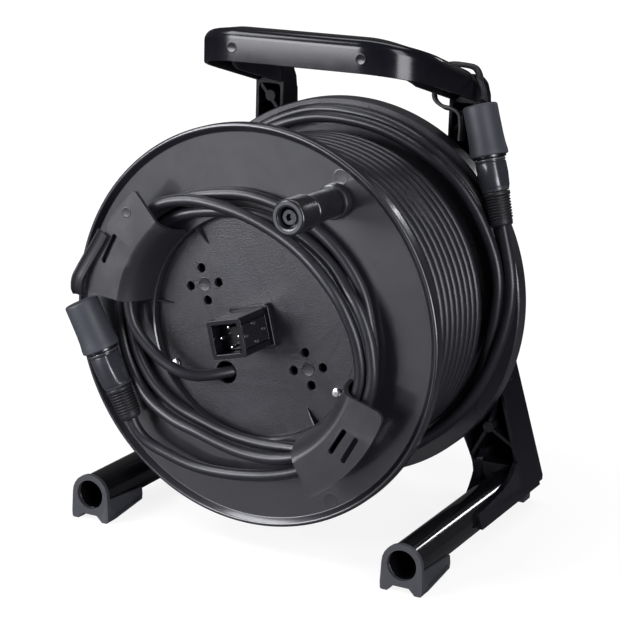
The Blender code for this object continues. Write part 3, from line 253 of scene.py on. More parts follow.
def moulded(name, colour, worn, roughness, grain, depth, sharpness=0.5, spread=0.12, wear=0.3, coat=0.0,
            metallic=0.0, shine=0.5):
    material, tree, shader = new_material(name)
    skin = add_node(tree, "ShaderNodeGroup", node_tree=SKIN)
    coords = add_node(tree, "ShaderNodeTexCoord")
    wire(tree, coords, "Object", skin, "Vector")
    for label, value in (("Grain Scale", grain), ("Grain Sharpness", sharpness),
                         ("Base Roughness", roughness), ("Roughness Range", spread), ("Colour", colour),
                         ("Worn Colour", worn), ("Wear", wear)):
        feed(tree, skin.inputs[label], value)
    bump = add_node(tree, "ShaderNodeBump")
    bump.inputs["Distance"].default_value = depth * MM
    bump.inputs["Strength"].default_value = BUMP_STRENGTH
    wire(tree, skin, "Height", bump, "Height")
    wire(tree, skin, "Colour", shader, "Base Color")
    wire(tree, skin, "Roughness", shader, "Roughness")
    wire(tree, bump, "Normal", shader, "Normal")
    for label, value in (("Metallic", metallic), ("Specular IOR Level", shine), ("Coat Weight", coat),
                         ("Coat Roughness", COAT_ROUGHNESS)):
        shader.inputs[label].default_value = value
    return material


FLANGE_PLASTIC = moulded("flange plastic", (0.010, 0.010, 0.013), (0.05, 0.05, 0.055), 0.31, 1100.0, 0.04,
                         coat=0.5)
HUB_PLASTIC = moulded("grained hub plastic", (0.010, 0.010, 0.013), (0.05, 0.05, 0.055), 0.31, 1250.0, 0.15,
                      sharpness=1.3, spread=0.1)
FRAME_PLASTIC = moulded("glossy frame plastic", (0.004, 0.004, 0.006), (0.05, 0.05, 0.055), 0.19, 1300.0,
                        0.01, spread=0.08, shine=0.27)
HOLDER_PLASTIC = moulded("holder plastic", (0.014, 0.014, 0.016), (0.09, 0.09, 0.095), 0.38, 900.0, 0.05)
KNOB_PLASTIC = moulded("knob plastic", (0.011, 0.011, 0.013), (0.08, 0.08, 0.085), 0.24, 1200.0, 0.02)
GREY_RUBBER = moulded("grey rubber", (0.032, 0.034, 0.041), (0.12, 0.12, 0.13), 0.5, 800.0, 0.06,
                      sharpness=0.8, shine=0.33)
BLACK_RUBBER = moulded("black rubber", (0.008, 0.008, 0.010), (0.04, 0.04, 0.045), 0.5, 900.0, 0.05,
                       sharpness=0.8, shine=0.3)
SHOE_RUBBER = moulded("shoe rubber", (0.026, 0.027, 0.032), (0.10, 0.10, 0.11), 0.5, 800.0, 0.06,
                      sharpness=0.8)
TUBE_COAT = moulded("glossy tube coat", (0.003, 0.003, 0.004), (0.05, 0.05, 0.05), 0.1, 700.0, 0.01,
                    sharpness=0.3, spread=0.05, wear=0.2, coat=0.3)
SHELL_COAT = moulded("connector shell coat", (0.028, 0.030, 0.036), (0.3, 0.3, 0.3), 0.27, 900.0, 0.02,
                     sharpness=0.4, spread=0.08, wear=0.6, coat=0.2, metallic=0.3)
CABLE_SHEATH = moulded("cable sheath", (0.009, 0.009, 0.012), (0.06, 0.06, 0.065), 0.37, 500.0, 0.03,
                       sharpness=0.3, spread=0.1, shine=0.42)
PALE_PLASTIC = moulded("pale insulator", (0.42, 0.41, 0.38), (0.6, 0.6, 0.58), 0.45, 900.0, 0.03)
print("Moulded finishes:", len(bpy.data.materials))

# %% [markdown]
# Turned steel shows fine grooves that run round it and bright, uneven gloss. Its grain is a noise that
# is stretched along one axis, so it costs a single Mapping node. Blackened steel is the same, but dark.

# %% Steel
GROOVE_SCALE = (300.0, 2600.0, 300.0)
SPOT_SCALE = 260.0
GROOVE_DEPTH = 0.02
GROOVE_SWING = 0.2
DULL_SHARE = 0.6


def make_steel(name, colour, roughness):
    material, tree, shader = new_material(name)
    coords = add_node(tree, "ShaderNodeTexCoord")
    stretch = add_node(tree, "ShaderNodeMapping")
    stretch.inputs["Scale"].default_value = GROOVE_SCALE
    wire(tree, coords, "Object", stretch, "Vector")
    grooves = noise_node(tree, stretch.outputs["Vector"], 1.0, 3.0)
    spots = noise_node(tree, coords.outputs["Object"], SPOT_SCALE, 2.0)
    swing = math_node(tree, "MULTIPLY", grooves, GROOVE_SWING)
    rough = math_node(tree, "ADD", swing, roughness - GROOVE_SWING / 2, True)
    dull = tuple(channel * DULL_SHARE for channel in colour)
    feed(tree, shader.inputs["Base Color"], mix_colour(tree, spots, dull, colour))
    feed(tree, shader.inputs["Roughness"], rough)
    bump = add_node(tree, "ShaderNodeBump")
    bump.inputs["Distance"].default_value = GROOVE_DEPTH * MM
    feed(tree, bump.inputs["Height"], grooves)
    wire(tree, bump, "Normal", shader, "Normal")
    shader.inputs["Metallic"].default_value = 1.0
    return material


STEEL = make_steel("bright steel", (0.78, 0.78, 0.8), 0.26)
PIN_METAL = make_steel("plated pins", (0.86, 0.84, 0.8), 0.2)
DARK_STEEL = make_steel("blackened steel", (0.09, 0.09, 0.1), 0.28)
print("Steels:", STEEL.name, PIN_METAL.name, DARK_STEEL.name)

# %% [markdown]
# The cable's two free ends are the hardest thing to place, so their routes come first. The points are
# those of the CAD model, written in drum coordinates: the outer end goes twice round the winding and up
# to its connector, and the inner end comes out of the hub and goes three times round the two holders.
# A curve needs one smooth line through them, so a Catmull-Rom curve is sampled every few millimetres,
# and then relaxed a little, because a real sheath is too stiff to follow every point.

# %% Cord routes
OUTER_TAIL_LEAD = [
    (124.5, 121.45, 62.5), (126.9, 120.5, 54.9), (131.5, 119.0, 40.0), (134.3, 118.0, 25.5),
    (134.2, 117.4, 9.0),
]
OUTER_TAIL_TURNS = [
    (-3, 131.8, 117.0), (-8, 129.9, 116.5), (-16, 127.5, 116.5), (-24, 125.8, 116.7), (-34, 124.2, 117.0),
    (-46, 122.5, 117.2), (-64, 121.5, 117.3), (-90, 121.2, 117.5), (-115, 121.2, 117.6),
    (-140, 121.2, 117.6), (-165, 121.4, 117.6), (-190, 121.8, 117.6), (-215, 122.8, 117.6),
    (-235, 123.8, 117.6), (-256, 124.0, 117.6), (-272, 123.8, 117.6), (-290, 124.4, 117.6),
    (-310, 126.8, 117.6), (-325, 128.2, 117.6), (-340, 128.4, 117.6), (-350, 127.2, 117.6),
    (-360, 123.9, 117.9), (-368, 121.8, 119.5), (-376, 121.2, 122.5), (-384, 121.1, 125.0),
    (-393, 121.1, 126.1), (-415, 121.2, 126.1), (-440, 121.2, 126.1), (-465, 121.2, 126.1),
    (-490, 121.4, 126.1), (-515, 122.0, 126.1), (-540, 122.8, 126.1), (-565, 124.6, 126.1),
    (-590, 127.2, 126.1), (-615, 128.8, 126.1), (-636, 127.6, 126.1), (-655, 127.4, 126.1),
    (-675, 128.4, 126.1), (-690, 128.5, 126.1), (-704, 127.8, 126.1), (-712, 125.0, 126.1),
    (-720, 120.5, 126.1), (-728, 116.2, 126.1), (-736, 113.4, 126.1), (-745, 112.2, 126.1),
    (-760, 111.9, 126.1), (-780, 111.9, 126.1), (-800, 111.9, 126.1),
]
INNER_TAIL_LEAD = [
    (-7.0, 43.9, -33.0), (-7.0, 36.0, -33.0), (-9.2, 26.5, -33.6), (-14.6, 18.2, -34.4),
    (-22.0, 11.0, -35.4), (-29.8, 4.6, -37.0), (-38.6, -0.8, -38.0), (-51.0, -4.6, -35.6),
    (-64.5, -6.0, -28.6), (-77.0, -7.5, -17.2),
]
INNER_TAIL_TURNS = [
    (-177, 85.2, -8.8), (-190, 88.8, -9.6), (-205, 92.5, -9.6), (-220, 98.5, -9.6), (-230, 100.2, -9.6),
    (-245, 91.5, -9.6), (-262, 81.2, -9.6), (-276, 76.0, -9.6), (-290, 73.2, -9.8), (-305, 73.2, -11.0),
    (-320, 75.2, -12.8), (-334, 79.0, -14.0), (-344, 81.4, -13.2), (-355, 84.4, -11.4),
    (-369, 88.3, -9.9), (-382, 89.3, -9.8), (-400, 89.3, -9.8), (-417, 88.6, -9.8), (-431, 85.8, -9.6),
    (-446, 82.2, -9.6), (-460, 80.0, -9.6), (-474, 80.6, -9.4), (-488, 86.8, -8.4), (-503, 95.0, -4.8),
    (-518, 98.4, -1.6), (-533, 99.4, -0.8), (-550, 99.6, -0.8), (-570, 99.6, -0.8), (-585, 99.0, -0.8),
    (-600, 94.8, -0.8), (-615, 90.6, -0.8), (-630, 89.0, -0.8), (-650, 87.8, -0.8), (-668, 87.8, -0.8),
    (-682, 89.0, -0.8), (-696, 90.2, -0.8), (-710, 89.8, -0.8), (-724, 91.6, -0.8), (-742, 93.4, -0.8),
    (-758, 93.0, -0.8), (-775, 88.4, -0.8), (-789, 80.8, -0.8), (-803, 76.8, -0.8), (-820, 75.2, -0.8),
    (-836, 76.4, -0.8), (-852, 82.2, -0.8), (-868, 87.4, -0.8), (-884, 90.0, -0.8), (-900, 90.7, -0.8),
    (-920, 90.7, -0.8), (-942, 90.2, -0.8), (-954, 86.9, -0.8), (-966, 81.8, -0.8), (-978, 78.2, -0.8),
    (-993, 76.8, -0.8), (-1008, 76.4, -0.8), (-1022, 77.0, -0.9), (-1036, 78.8, -1.4),
    (-1044, 80.6, -3.0), (-1052, 83.4, -6.8), (-1060, 88.0, -9.2), (-1070, 91.6, -9.9),
    (-1080, 94.4, -9.8), (-1092, 97.4, -9.8), (-1108, 98.0, -9.8), (-1124, 98.2, -9.8),
    (-1138, 97.4, -9.6), (-1150, 96.8, -8.6), (-1165, 97.6, -6.6), (-1180, 101.6, -6.0),
    (-1192, 106.6, -6.4), (-1203, 111.0, -7.2),
]
INNER_TAIL_END = [
    (-70.2, -7.9, -89.6), (-77.2, -8.6, -84.9), (-81.6, -9.3, -79.2), (-84.2, -9.97, -72.95),
]
TAIL_SPACING = 3.0
SPAN_STEPS = 16


def smooth_route(points, spacing):
    """Reads points off one smooth curve through the given points, about one for each spacing."""
    knots = [Vector(p) for p in points]
    knots = [knots[0] * 2 - knots[1]] + knots + [knots[-1] * 2 - knots[-2]]
    fine = []
    for i in range(1, len(knots) - 2):
        a, b, c, d = knots[i - 1:i + 3]
        for k in range(SPAN_STEPS):
            t = k / SPAN_STEPS
            fine.append(0.5 * (2 * b + (c - a) * t + (2 * a - 5 * b + 4 * c - d) * t ** 2
                               + (3 * b - a - 3 * c + d) * t ** 3))
    fine.append(knots[-2])
    reach = [0.0]
    for first, second in zip(fine, fine[1:]):
        reach.append(reach[-1] + (second - first).length)
    count = max(2, round(reach[-1] / spacing))
    route = []
    spot = 0
    for k in range(count + 1):
        goal = reach[-1] * k / count
        while spot < len(reach) - 2 and reach[spot + 1] < goal:
            spot += 1
        span = reach[spot + 1] - reach[spot]
        route.append(fine[spot].lerp(fine[spot + 1], (goal - reach[spot]) / span))
    return route


def relaxed(route, rounds):
    """Draws each point by half to the middle of its two neighbours, so no kink is left at the knots."""
    for _ in range(rounds):
        middle = [b * 0.5 + (a + c) * 0.25 for a, b, c in zip(route, route[1:], route[2:])]
        route = route[:1] + middle + route[-1:]
    return route


def length_of(route):
    return sum((b - a).length for a, b in zip(route, route[1:])) * MM


outer_points = OUTER_TAIL_LEAD + [polar(*row) for row in OUTER_TAIL_TURNS]
outer_route = relaxed(smooth_route(outer_points, TAIL_SPACING), 4)
inner_points = INNER_TAIL_LEAD + [polar(*row) for row in INNER_TAIL_TURNS] + INNER_TAIL_END
inner_route = relaxed(smooth_route(inner_points, TAIL_SPACING), 3)
print("Outer end", round(length_of(outer_route), 3), "m, inner end", round(length_of(inner_route), 3), "m")

# %% [markdown]
# The two tubes are plain bevelled curves.

# %% The two cable ends


def tube(name, route, radius, material, resolution):
    """A round cord along a route in drum coordinates, as a curve with a bevel and closed ends."""
    data = bpy.data.curves.new(name, "CURVE")
    data.dimensions = "3D"
    data.bevel_depth = radius * MM
    data.bevel_resolution = resolution
    data.use_fill_caps = True
    data.materials.append(material)
    line = data.splines.new("POLY")
    line.points.add(len(route) - 1)
    for point, spot in zip(line.points, route):
        point.co = (*place(spot), 1.0)
    line.use_smooth = True
    return show(name, data)


outer_cable = tube("outer_cable", outer_route, CABLE_RADIUS, CABLE_SHEATH, 5)
enrol(outer_cable, "frame", ["outer_tail"])
inner_cable = tube("inner_cable", inner_route, CABLE_RADIUS, CABLE_SHEATH, 5)
enrol(inner_cable, "drum", ["inner_tail"])
print("Points of the cable ends:", len(outer_route), len(inner_route))

# %% [markdown]
# The winding follows a rule, a helix of thirteen turns, so Geometry Nodes make it. The script draws the
# helix as a plain line of points. The node tree lays a round sheath along it, and its inputs are named,
# so the same tree would sheathe any other line. Each real turn lies a little unlike the next, so the
# helix is given a slow wander of a tenth or two of a millimetre before the sheath goes on.

# %% Sheath tree


def geometry_tree(name, inputs):
    """A Geometry Nodes tree with a geometry input and output and the named inputs."""
    shape = [("Geometry", "NodeSocketGeometry")]
    return new_tree("GeometryNodeTree", name, shape + inputs, shape)


def end_tree(tree, geometry, entry, exit_node):
    """Every tree ends alike: instances become real mesh, and the mesh gets its material."""
    real = tree.nodes.new("GeometryNodeRealizeInstances")
    finish = tree.nodes.new("GeometryNodeSetMaterial")
    tree.links.new(geometry, real.inputs["Geometry"])
    wire(tree, real, "Geometry", finish, "Geometry")
    wire(tree, entry, "Material", finish, "Material")
    wire(tree, finish, "Geometry", exit_node, "Geometry")


def run_tree(name, tree, values, carrier=None):
    """Runs a tree on a carrier object, keeps the result as a plain mesh and removes the carrier."""
    carrier = carrier or show(name + "_carrier", bpy.data.meshes.new(name + "_carrier"))
    step = carrier.modifiers.new(tree.name, "NODES")
    step.node_group = tree
    for item in tree.interface.items_tree:
        if item.in_out == "INPUT" and item.name in values:
            step[item.identifier] = values[item.name]
    bpy.context.view_layer.update()
    result = carrier.evaluated_get(bpy.context.evaluated_depsgraph_get())
    mesh = bpy.data.meshes.new_from_object(result)
    bpy.data.objects.remove(carrier)
    mesh.name = name
    return show(name, mesh)


def make_sheath_tree():
    tree, entry, exit_node = geometry_tree("sheath along a line", [
        ("Radius", "NodeSocketFloat"), ("Sides", "NodeSocketInt"), ("Material", "NodeSocketMaterial")])
    section = tree.nodes.new("GeometryNodeCurvePrimitiveCircle")
    wire(tree, entry, "Radius", section, "Radius")
    wire(tree, entry, "Sides", section, "Resolution")
    sweep = tree.nodes.new("GeometryNodeCurveToMesh")
    sweep.inputs["Fill Caps"].default_value = True
    wire(tree, entry, "Geometry", sweep, "Curve")
    wire(tree, section, "Curve", sweep, "Profile Curve")
    smooth = tree.nodes.new("GeometryNodeSetShadeSmooth")
    wire(tree, sweep, "Mesh", smooth, "Geometry")
    end_tree(tree, smooth.outputs["Geometry"], entry, exit_node)
    return tree


SHEATH_TREE = make_sheath_tree()

# %% The winding
WINDING_RADIUS = 111.7
TURN_PITCH = 8.25
TURNS = 13
FIRST_TURN_Y = 10.7
FIRST_ANGLE = -200.0
TURN_POINTS = 72
WANDER = 0.25
WANDERS_PER_TURN = 2.3


def helix_route():
    points = []
    for k in range(TURNS * TURN_POINTS + 1):
        turn = k / TURN_POINTS
        radius = WINDING_RADIUS + WANDER * noise.noise(Vector((turn * WANDERS_PER_TURN, 3.1, 0.7)))
        points.append(Vector(polar(FIRST_ANGLE - 360.0 * turn, radius, FIRST_TURN_Y + TURN_PITCH * turn)))
    head = (points[0] - points[1]).normalized() * CABLE_RADIUS * 2
    foot = (points[-1] - points[-2]).normalized() * CABLE_RADIUS * 2
    return [points[0] + head] + points + [points[-1] + foot]


helix = tube("helix", helix_route(), 0.0, CABLE_SHEATH, 0)
winding = run_tree("winding", SHEATH_TREE,
                   {"Radius": CABLE_RADIUS * MM, "Sides": 14, "Material": CABLE_SHEATH}, helix)
enrol(winding, "drum", ["winding_turns"])
print("Winding faces:", len(winding.data.polygons))

# %% [markdown]
# Most CAD pieces have the right shape but razor-sharp edges. Real mouldings have a small radius on every
# edge, and that thin line of light is what makes black plastic readable. A piece is refined by copying
# its CAD mesh, merging the loose triangles, dissolving the flat ones, and adding a live Bevel. Weighted
# normals then keep its flat faces flat, right up to the rounded edges.

# %% Rounding the edges of CAD pieces
MERGE_DISTANCE = 0.002
CAD_SHARP = 40.0
CAD_BEVEL_ANGLE = 38.0
FLAT_WEIGHT = 100


def dress(node, material):
    """Gives a CAD node that stays as it is a better material."""
    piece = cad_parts[node]
    piece.data.materials.clear()
    piece.data.materials.append(material)


def settle(mesh, work, sharp):
    """Writes the edited faces back to the mesh, and shades all smooth but edges above an angle in degrees."""
    work.to_mesh(mesh)
    work.free()
    mesh.shade_smooth()
    mesh.set_sharp_from_angle(angle=math.radians(sharp))


def add_bevel(piece, width, segments, angle):
    edges = piece.modifiers.new("rounded edges", "BEVEL")
    edges.width = width * MM
    edges.segments = segments
    edges.limit_method = "ANGLE"
    edges.angle_limit = math.radians(angle)
    return edges


def soften(node, body, material, width, segments=2, flat=1.0, reshape=None):
    """Replaces a CAD node by a merged copy of it with rounded edges. reshape may work on the copy first."""
    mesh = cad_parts[node].data.copy()
    work = bmesh.new()
    work.from_mesh(mesh)
    bmesh.ops.remove_doubles(work, verts=work.verts, dist=MERGE_DISTANCE * MM)
    bmesh.ops.dissolve_limit(work, angle_limit=math.radians(flat), verts=work.verts, edges=work.edges)
    if reshape:
        reshape(work)
    settle(mesh, work, CAD_SHARP)
    mesh.materials.clear()
    mesh.materials.append(material)
    piece = show(node + "_look", mesh)
    add_bevel(piece, width, segments, CAD_BEVEL_ANGLE)
    flats = piece.modifiers.new("flat faces stay flat", "WEIGHTED_NORMAL")
    flats.keep_sharp = True
    flats.weight = FLAT_WEIGHT
    return enrol(piece, body, [node])


for name in ("left_rear_pad", "right_rear_pad"):
    soften(name, "frame", SHOE_RUBBER, 0.6)
soften("rear_frame", "frame", FRAME_PLASTIC, 0.45)
for name in ("axle", "rear_axle_washer", "rear_axle_nut", "front_axle_ring"):
    soften(name, "frame", STEEL, 0.4)
for name in ("front_bush", "rear_bush"):
    soften(name, "drum", PALE_PLASTIC, 0.3)
dress("winding_core", CABLE_SHEATH)
dress("drum_barrel", FLANGE_PLASTIC)

# %% [markdown]
# What is drawn new mostly starts as rings of points. A loft skins a row of rings with quads: an open
# row gets a flat face at each end, and a closed row joins up. A turned piece is a loft as well. Its
# profile is a short list of radius and depth pairs, which is carried round the axle in many steps.

# %% Rings, lofts and turned shapes


def loft(rings, closed=False):
    count = len(rings[0])
    faces = []
    for row in range(len(rings) if closed else len(rings) - 1):
        here = row * count
        there = (row + 1) % len(rings) * count
        for i in range(count):
            j = (i + 1) % count
            faces.append((here + i, here + j, there + j, there + i))
    if not closed:
        faces.append(tuple(range(count)))
        faces.append(tuple((len(rings) - 1) * count + i for i in range(count)))
    return [point for ring in rings for point in ring], faces


def circle(steps):
    """Cosine and sine at each step of a full turn."""
    angles = [2 * math.pi * k / steps for k in range(steps)]
    return [(math.cos(angle), math.sin(angle)) for angle in angles]


def turn_closed(profile, steps, centre=(0.0, 0.0)):
    """A ring: a closed profile of (radius, y) carried right round a centre (x, z)."""
    x, z = centre
    return loft([[(x + r * c, y, z + r * s) for r, y in profile] for c, s in circle(steps)], True)


def turn_open(profile, steps):
    """A spindle: an open profile of (radius, y), closed with a flat face at each end."""
    return loft([[(r * c, y, r * s) for c, s in circle(steps)] for r, y in profile])


def arc(centre, radius, start, end, steps):
    """Points of a round corner in a profile, with angles in degrees."""
    angles = [math.radians(start + (end - start) * k / steps) for k in range(steps + 1)]
    return [(centre[0] + radius * math.cos(a), centre[1] + radius * math.sin(a)) for a in angles]


def along(base, tip):
    """Carries the y axis onto the line from base to tip, with its origin at base."""
    direction = (Vector(tip) - Vector(base)).normalized()
    turn = Vector((0.0, 1.0, 0.0)).rotation_difference(direction)
    return Matrix.Translation(Vector(base)) @ turn.to_matrix().to_4x4()


def moved(shape, matrix):
    points, faces = shape
    return [tuple(matrix @ Vector(p)) for p in points], faces


def joined(shapes):
    points = []
    faces = []
    for more_points, more_faces in shapes:
        faces += [tuple(len(points) + i for i in face) for face in more_faces]
        points += more_points
    return points, faces


# %% Making a piece of a shape
PIECE_SHARP = 38.0


def make_mesh(name, shape, material, body, nodes=(), sharp=PIECE_SHARP):
    """A piece from points in drum coordinates. It rides on a body and may replace CAD nodes."""
    points, faces = shape
    mesh = bpy.data.meshes.new(name)
    mesh.from_pydata([tuple(place(p)) for p in points], [], faces)
    work = bmesh.new()
    work.from_mesh(mesh)
    bmesh.ops.remove_doubles(work, verts=work.verts, dist=MERGE_DISTANCE * MM)
    bmesh.ops.recalc_face_normals(work, faces=work.faces)
    settle(mesh, work, sharp)
    mesh.materials.append(material)
    return enrol(show(name, mesh), body, nodes)


def round_edges(piece, width):
    add_bevel(piece, width, 2, 30.0).harden_normals = True


# %% The two flanges
FLANGE_RADIUS = 135.0
FLANGE_FACE_Y = 3.5
REAR_FLANGE_Y = 130.6
RECESS_RADIUS = 75.4
HUB_PLATE_Y = 9.5
FLANGE_STEPS = 240


def front_profile():
    """A rounded lip, a sloped wall that leads down to the flat face, and the recess in its middle."""
    r = FLANGE_RADIUS
    f = FLANGE_FACE_Y
    profile = [(RECESS_RADIUS, f + 0.8), (RECESS_RADIUS + 0.8, f), (r - 6.2, f)]
    profile += arc((r - 6.0, 2.7), 0.8, 75.0, 40.0, 3)
    profile += arc((r - 1.7, 1.7), 1.7, 225.0, 360.0, 12)
    profile += [(r, 2.2), (r, 7.4), (r - 0.6, 8.1), (r - 3.0, 8.1), (r - 3.0, f + 3.0)]
    return profile + [(RECESS_RADIUS + 3.0, f + 3.0), (RECESS_RADIUS + 3.0, 12.5), (RECESS_RADIUS, 12.5)]


def rear_profile():
    """The rear flange is a little wider, with a deep rim that opens to the back."""
    r = FLANGE_RADIUS
    b = REAR_FLANGE_Y
    rim = [(r + 0.2, b), (r + 1.0, b + 0.8), (r + 1.0, b + 12.7), (r + 0.2, b + 13.7), (r - 1.4, b + 13.7)]
    return [(10.6, b)] + rim + [(r - 2.0, b + 13.0), (r - 2.0, b + 3.0), (10.6, b + 3.0)]


for name, profile in (("front_flange", front_profile()), ("rear_flange", rear_profile())):
    make_mesh(name + "_look", turn_closed(profile, FLANGE_STEPS), FLANGE_PLASTIC, "drum",
              [name])

# %% [markdown]
# The hub plate is the grained disc in the recess. Its holes are cut in CAD, so the copy keeps them, and
# it is shaded flat. Small fins stand on the recess wall. Fins and screws repeat round the axle, so one
# tree places any shape on a circle: it counts points, turns each index into an angle, and turns the
# instance with it. A second tree copies a shape along a straight row.

# %% Trees that copy a shape


def copy_shape(tree, entry, points):
    """Puts a copy of the shape input on each of the points."""
    shape = tree.nodes.new("GeometryNodeObjectInfo")
    wire(tree, entry, "Shape", shape, "Object")
    copies = tree.nodes.new("GeometryNodeInstanceOnPoints")
    tree.links.new(points, copies.inputs["Points"])
    wire(tree, shape, "Geometry", copies, "Instance")
    return copies


def make_ring_tree():
    tree, entry, exit_node = geometry_tree("copies round the axle", [
        ("Shape", "NodeSocketObject"), ("Count", "NodeSocketInt"), ("Radius", "NodeSocketFloat"),
        ("Depth", "NodeSocketFloat"), ("First Angle", "NodeSocketFloat"), ("Step Angle", "NodeSocketFloat"),
        ("Centre", "NodeSocketVector"), ("Material", "NodeSocketMaterial")])
    points = tree.nodes.new("GeometryNodePoints")
    wire(tree, entry, "Count", points, "Count")
    index = tree.nodes.new("GeometryNodeInputIndex").outputs["Index"]
    turned = math_node(tree, "MULTIPLY", index, entry.outputs["Step Angle"])
    angle = math_node(tree, "RADIANS", math_node(tree, "ADD", turned, entry.outputs["First Angle"]))
    spot = tree.nodes.new("ShaderNodeCombineXYZ")
    for axis, operation in (("X", "COSINE"), ("Z", "SINE")):
        reach = math_node(tree, "MULTIPLY", math_node(tree, operation, angle), entry.outputs["Radius"])
        feed(tree, spot.inputs[axis], reach)
    wire(tree, entry, "Depth", spot, "Y")
    shifted = tree.nodes.new("ShaderNodeVectorMath")
    wire(tree, spot, "Vector", shifted, 0)
    wire(tree, entry, "Centre", shifted, 1)
    move = tree.nodes.new("GeometryNodeSetPosition")
    wire(tree, points, "Points", move, "Geometry")
    wire(tree, shifted, "Vector", move, "Position")
    turn = tree.nodes.new("ShaderNodeCombineXYZ")
    feed(tree, turn.inputs["Y"], math_node(tree, "MULTIPLY", angle, -1.0))
    copies = copy_shape(tree, entry, move.outputs["Geometry"])
    wire(tree, turn, "Vector", copies, "Rotation")
    end_tree(tree, copies.outputs["Instances"], entry, exit_node)
    return tree


def make_row_tree():
    tree, entry, exit_node = geometry_tree("copies along a row", [
        ("Shape", "NodeSocketObject"), ("Count", "NodeSocketInt"), ("Start", "NodeSocketVector"),
        ("Step", "NodeSocketVector"), ("Material", "NodeSocketMaterial")])
    line = tree.nodes.new("GeometryNodeMeshLine")
    for label, target in (("Count", "Count"), ("Start", "Start Location"), ("Step", "Offset")):
        wire(tree, entry, label, line, target)
    copies = copy_shape(tree, entry, line.outputs["Mesh"])
    end_tree(tree, copies.outputs["Instances"], entry, exit_node)
    return tree


RING_TREE = make_ring_tree()
ROW_TREE = make_row_tree()
print("Copying trees:", RING_TREE.name, "and", ROW_TREE.name)

# %% Copies of a small shape
PATTERN_SHARP = 35.0


def pattern(name, shape):
    """A small shape about its own origin, for a tree to copy."""
    points, faces = shape
    mesh = bpy.data.meshes.new(name)
    mesh.from_pydata([tuple(Vector(p) * MM) for p in points], [], faces)
    work = bmesh.new()
    work.from_mesh(mesh)
    bmesh.ops.recalc_face_normals(work, faces=work.faces)
    settle(mesh, work, PATTERN_SHARP)
    return show(name, mesh)


def copies_of(name, tree, values, shape, material, body, nodes=()):
    """Runs a tree on a shape. The pattern that it copies is removed after use."""
    original = pattern(name + "_pattern", shape)
    piece = run_tree(name, tree, {"Shape": original, "Material": material, **values})
    bpy.data.objects.remove(original)
    enrol(piece, body, nodes)
    print(name, "has", len(piece.data.polygons), "faces")


def ring_of(name, shape, material, count=1, radius=0.0, depth=0.0, first=0.0, step=0.0,
            centre=(0.0, 0.0, 0.0), nodes=()):
    """Copies on the drum. The lengths are in drum millimetres, the angles in degrees."""
    values = {"Count": count, "Radius": radius * MM, "Depth": depth * MM, "First Angle": first,
              "Step Angle": step, "Centre": tuple(place(centre))}
    copies_of(name, RING_TREE, values, shape, material, "drum", nodes)


def row_of(name, shape, count, start, step):
    """Copies on the handle. start and step are in drum millimetres."""
    values = {"Count": count, "Start": tuple(place(start)), "Step": tuple(Vector(step) * MM)}
    copies_of(name, ROW_TREE, values, shape, FRAME_PLASTIC, "frame")


# %% Hub plate, screws and fins
BOX_FACES = [(0, 1, 3, 2), (4, 5, 7, 6), (0, 1, 5, 4), (2, 3, 7, 6), (0, 2, 6, 4), (1, 3, 7, 5)]
FIN_POINTS = [(-11.0, 1.5, -0.5), (-11.0, 1.5, 0.5), (3.0, 2.0, -0.8), (3.0, 2.0, 0.8),
              (-8.0, -0.4, -0.4), (-8.0, -0.4, 0.4), (3.0, -4.0, -0.5), (3.0, -4.0, 0.5)]
SCREW_STEPS = 24
SLOT_REACH = 1.9
SLOT_HALF_WIDTH = 0.75


def cross_screw():
    """A pan head with a crossed slot: the top ring is drawn in, and the slot's floor lies deeper."""
    head = [(3.35, 1.7), (3.35, 0.6), (2.9, 0.15), (2.2, -0.1)]
    points, faces = turn_open(head, SCREW_STEPS)
    faces.pop(-1)
    ring = (len(head) - 1) * SCREW_STEPS
    rim = len(points)
    floor = rim + SCREW_STEPS
    reaches = [SLOT_REACH if k % 6 == 0 else SLOT_HALF_WIDTH for k in range(SCREW_STEPS)]
    arms = [(reach * c, -0.12, reach * s) for reach, (c, s) in zip(reaches, circle(SCREW_STEPS))]
    points += arms + [(x * 0.8, 0.9, z * 0.8) for x, y, z in arms]
    for k in range(SCREW_STEPS):
        n = (k + 1) % SCREW_STEPS
        faces.append((ring + k, ring + n, rim + n, rim + k))
        faces.append((rim + k, rim + n, floor + n, floor + k))
    faces.append(tuple(floor + k for k in range(SCREW_STEPS)))
    return points, faces


soften("hub_plate", "drum", HUB_PLASTIC, 0.35).data.shade_flat()
ring_of("hub_screws", cross_screw(), STEEL, 3, 70.6, HUB_PLATE_Y - 2.0, -30.0, 120.0,
        nodes=["hub_screw_1", "hub_screw_2", "hub_screw_3"])
for number, angle in enumerate((126.0, 174.0, -51.0), 1):
    ring_of("recess_fin_" + str(number), (FIN_POINTS, BOX_FACES), HUB_PLASTIC, 1, 73.0,
            HUB_PLATE_Y - 1.0, angle)

# %% [markdown]
# The moulding shows shallow round marks where pins pushed it out of its mould. Each is a disc one to
# three tenths of a millimetre proud, with a soft rim round a lower middle: too thin for CAD, but light
# catches it. The two dimples between the hub plate's holes are of the same kind.

# %% Mould marks
MARK_STEPS = 36


def mark(radius, height):
    return turn_open([(radius, 0.2), (radius, -height * 0.6), (radius - 0.25, -height),
                      (radius - 0.8, -height * 0.5)], MARK_STEPS)


ring_of("flange_marks", mark(5.2, 0.12), FLANGE_PLASTIC, 3, 123.8, FLANGE_FACE_Y,
        59.9, 120.0)
for number, angle in enumerate((-30.0, 150.0), 1):
    ring_of("hub_dimple_" + str(number), mark(4.6, 0.3), HUB_PLASTIC,
            centre=polar(angle, 45.8, HUB_PLATE_Y))

# %% [markdown]
# The square block in the middle of the hub is read as a socket. Its walls get rounded edges, and a plate
# on its floor carries four plated pins. A second plate lies in its right side and carries four bright
# studs. All of that is turned by a small angle, as the block itself is.

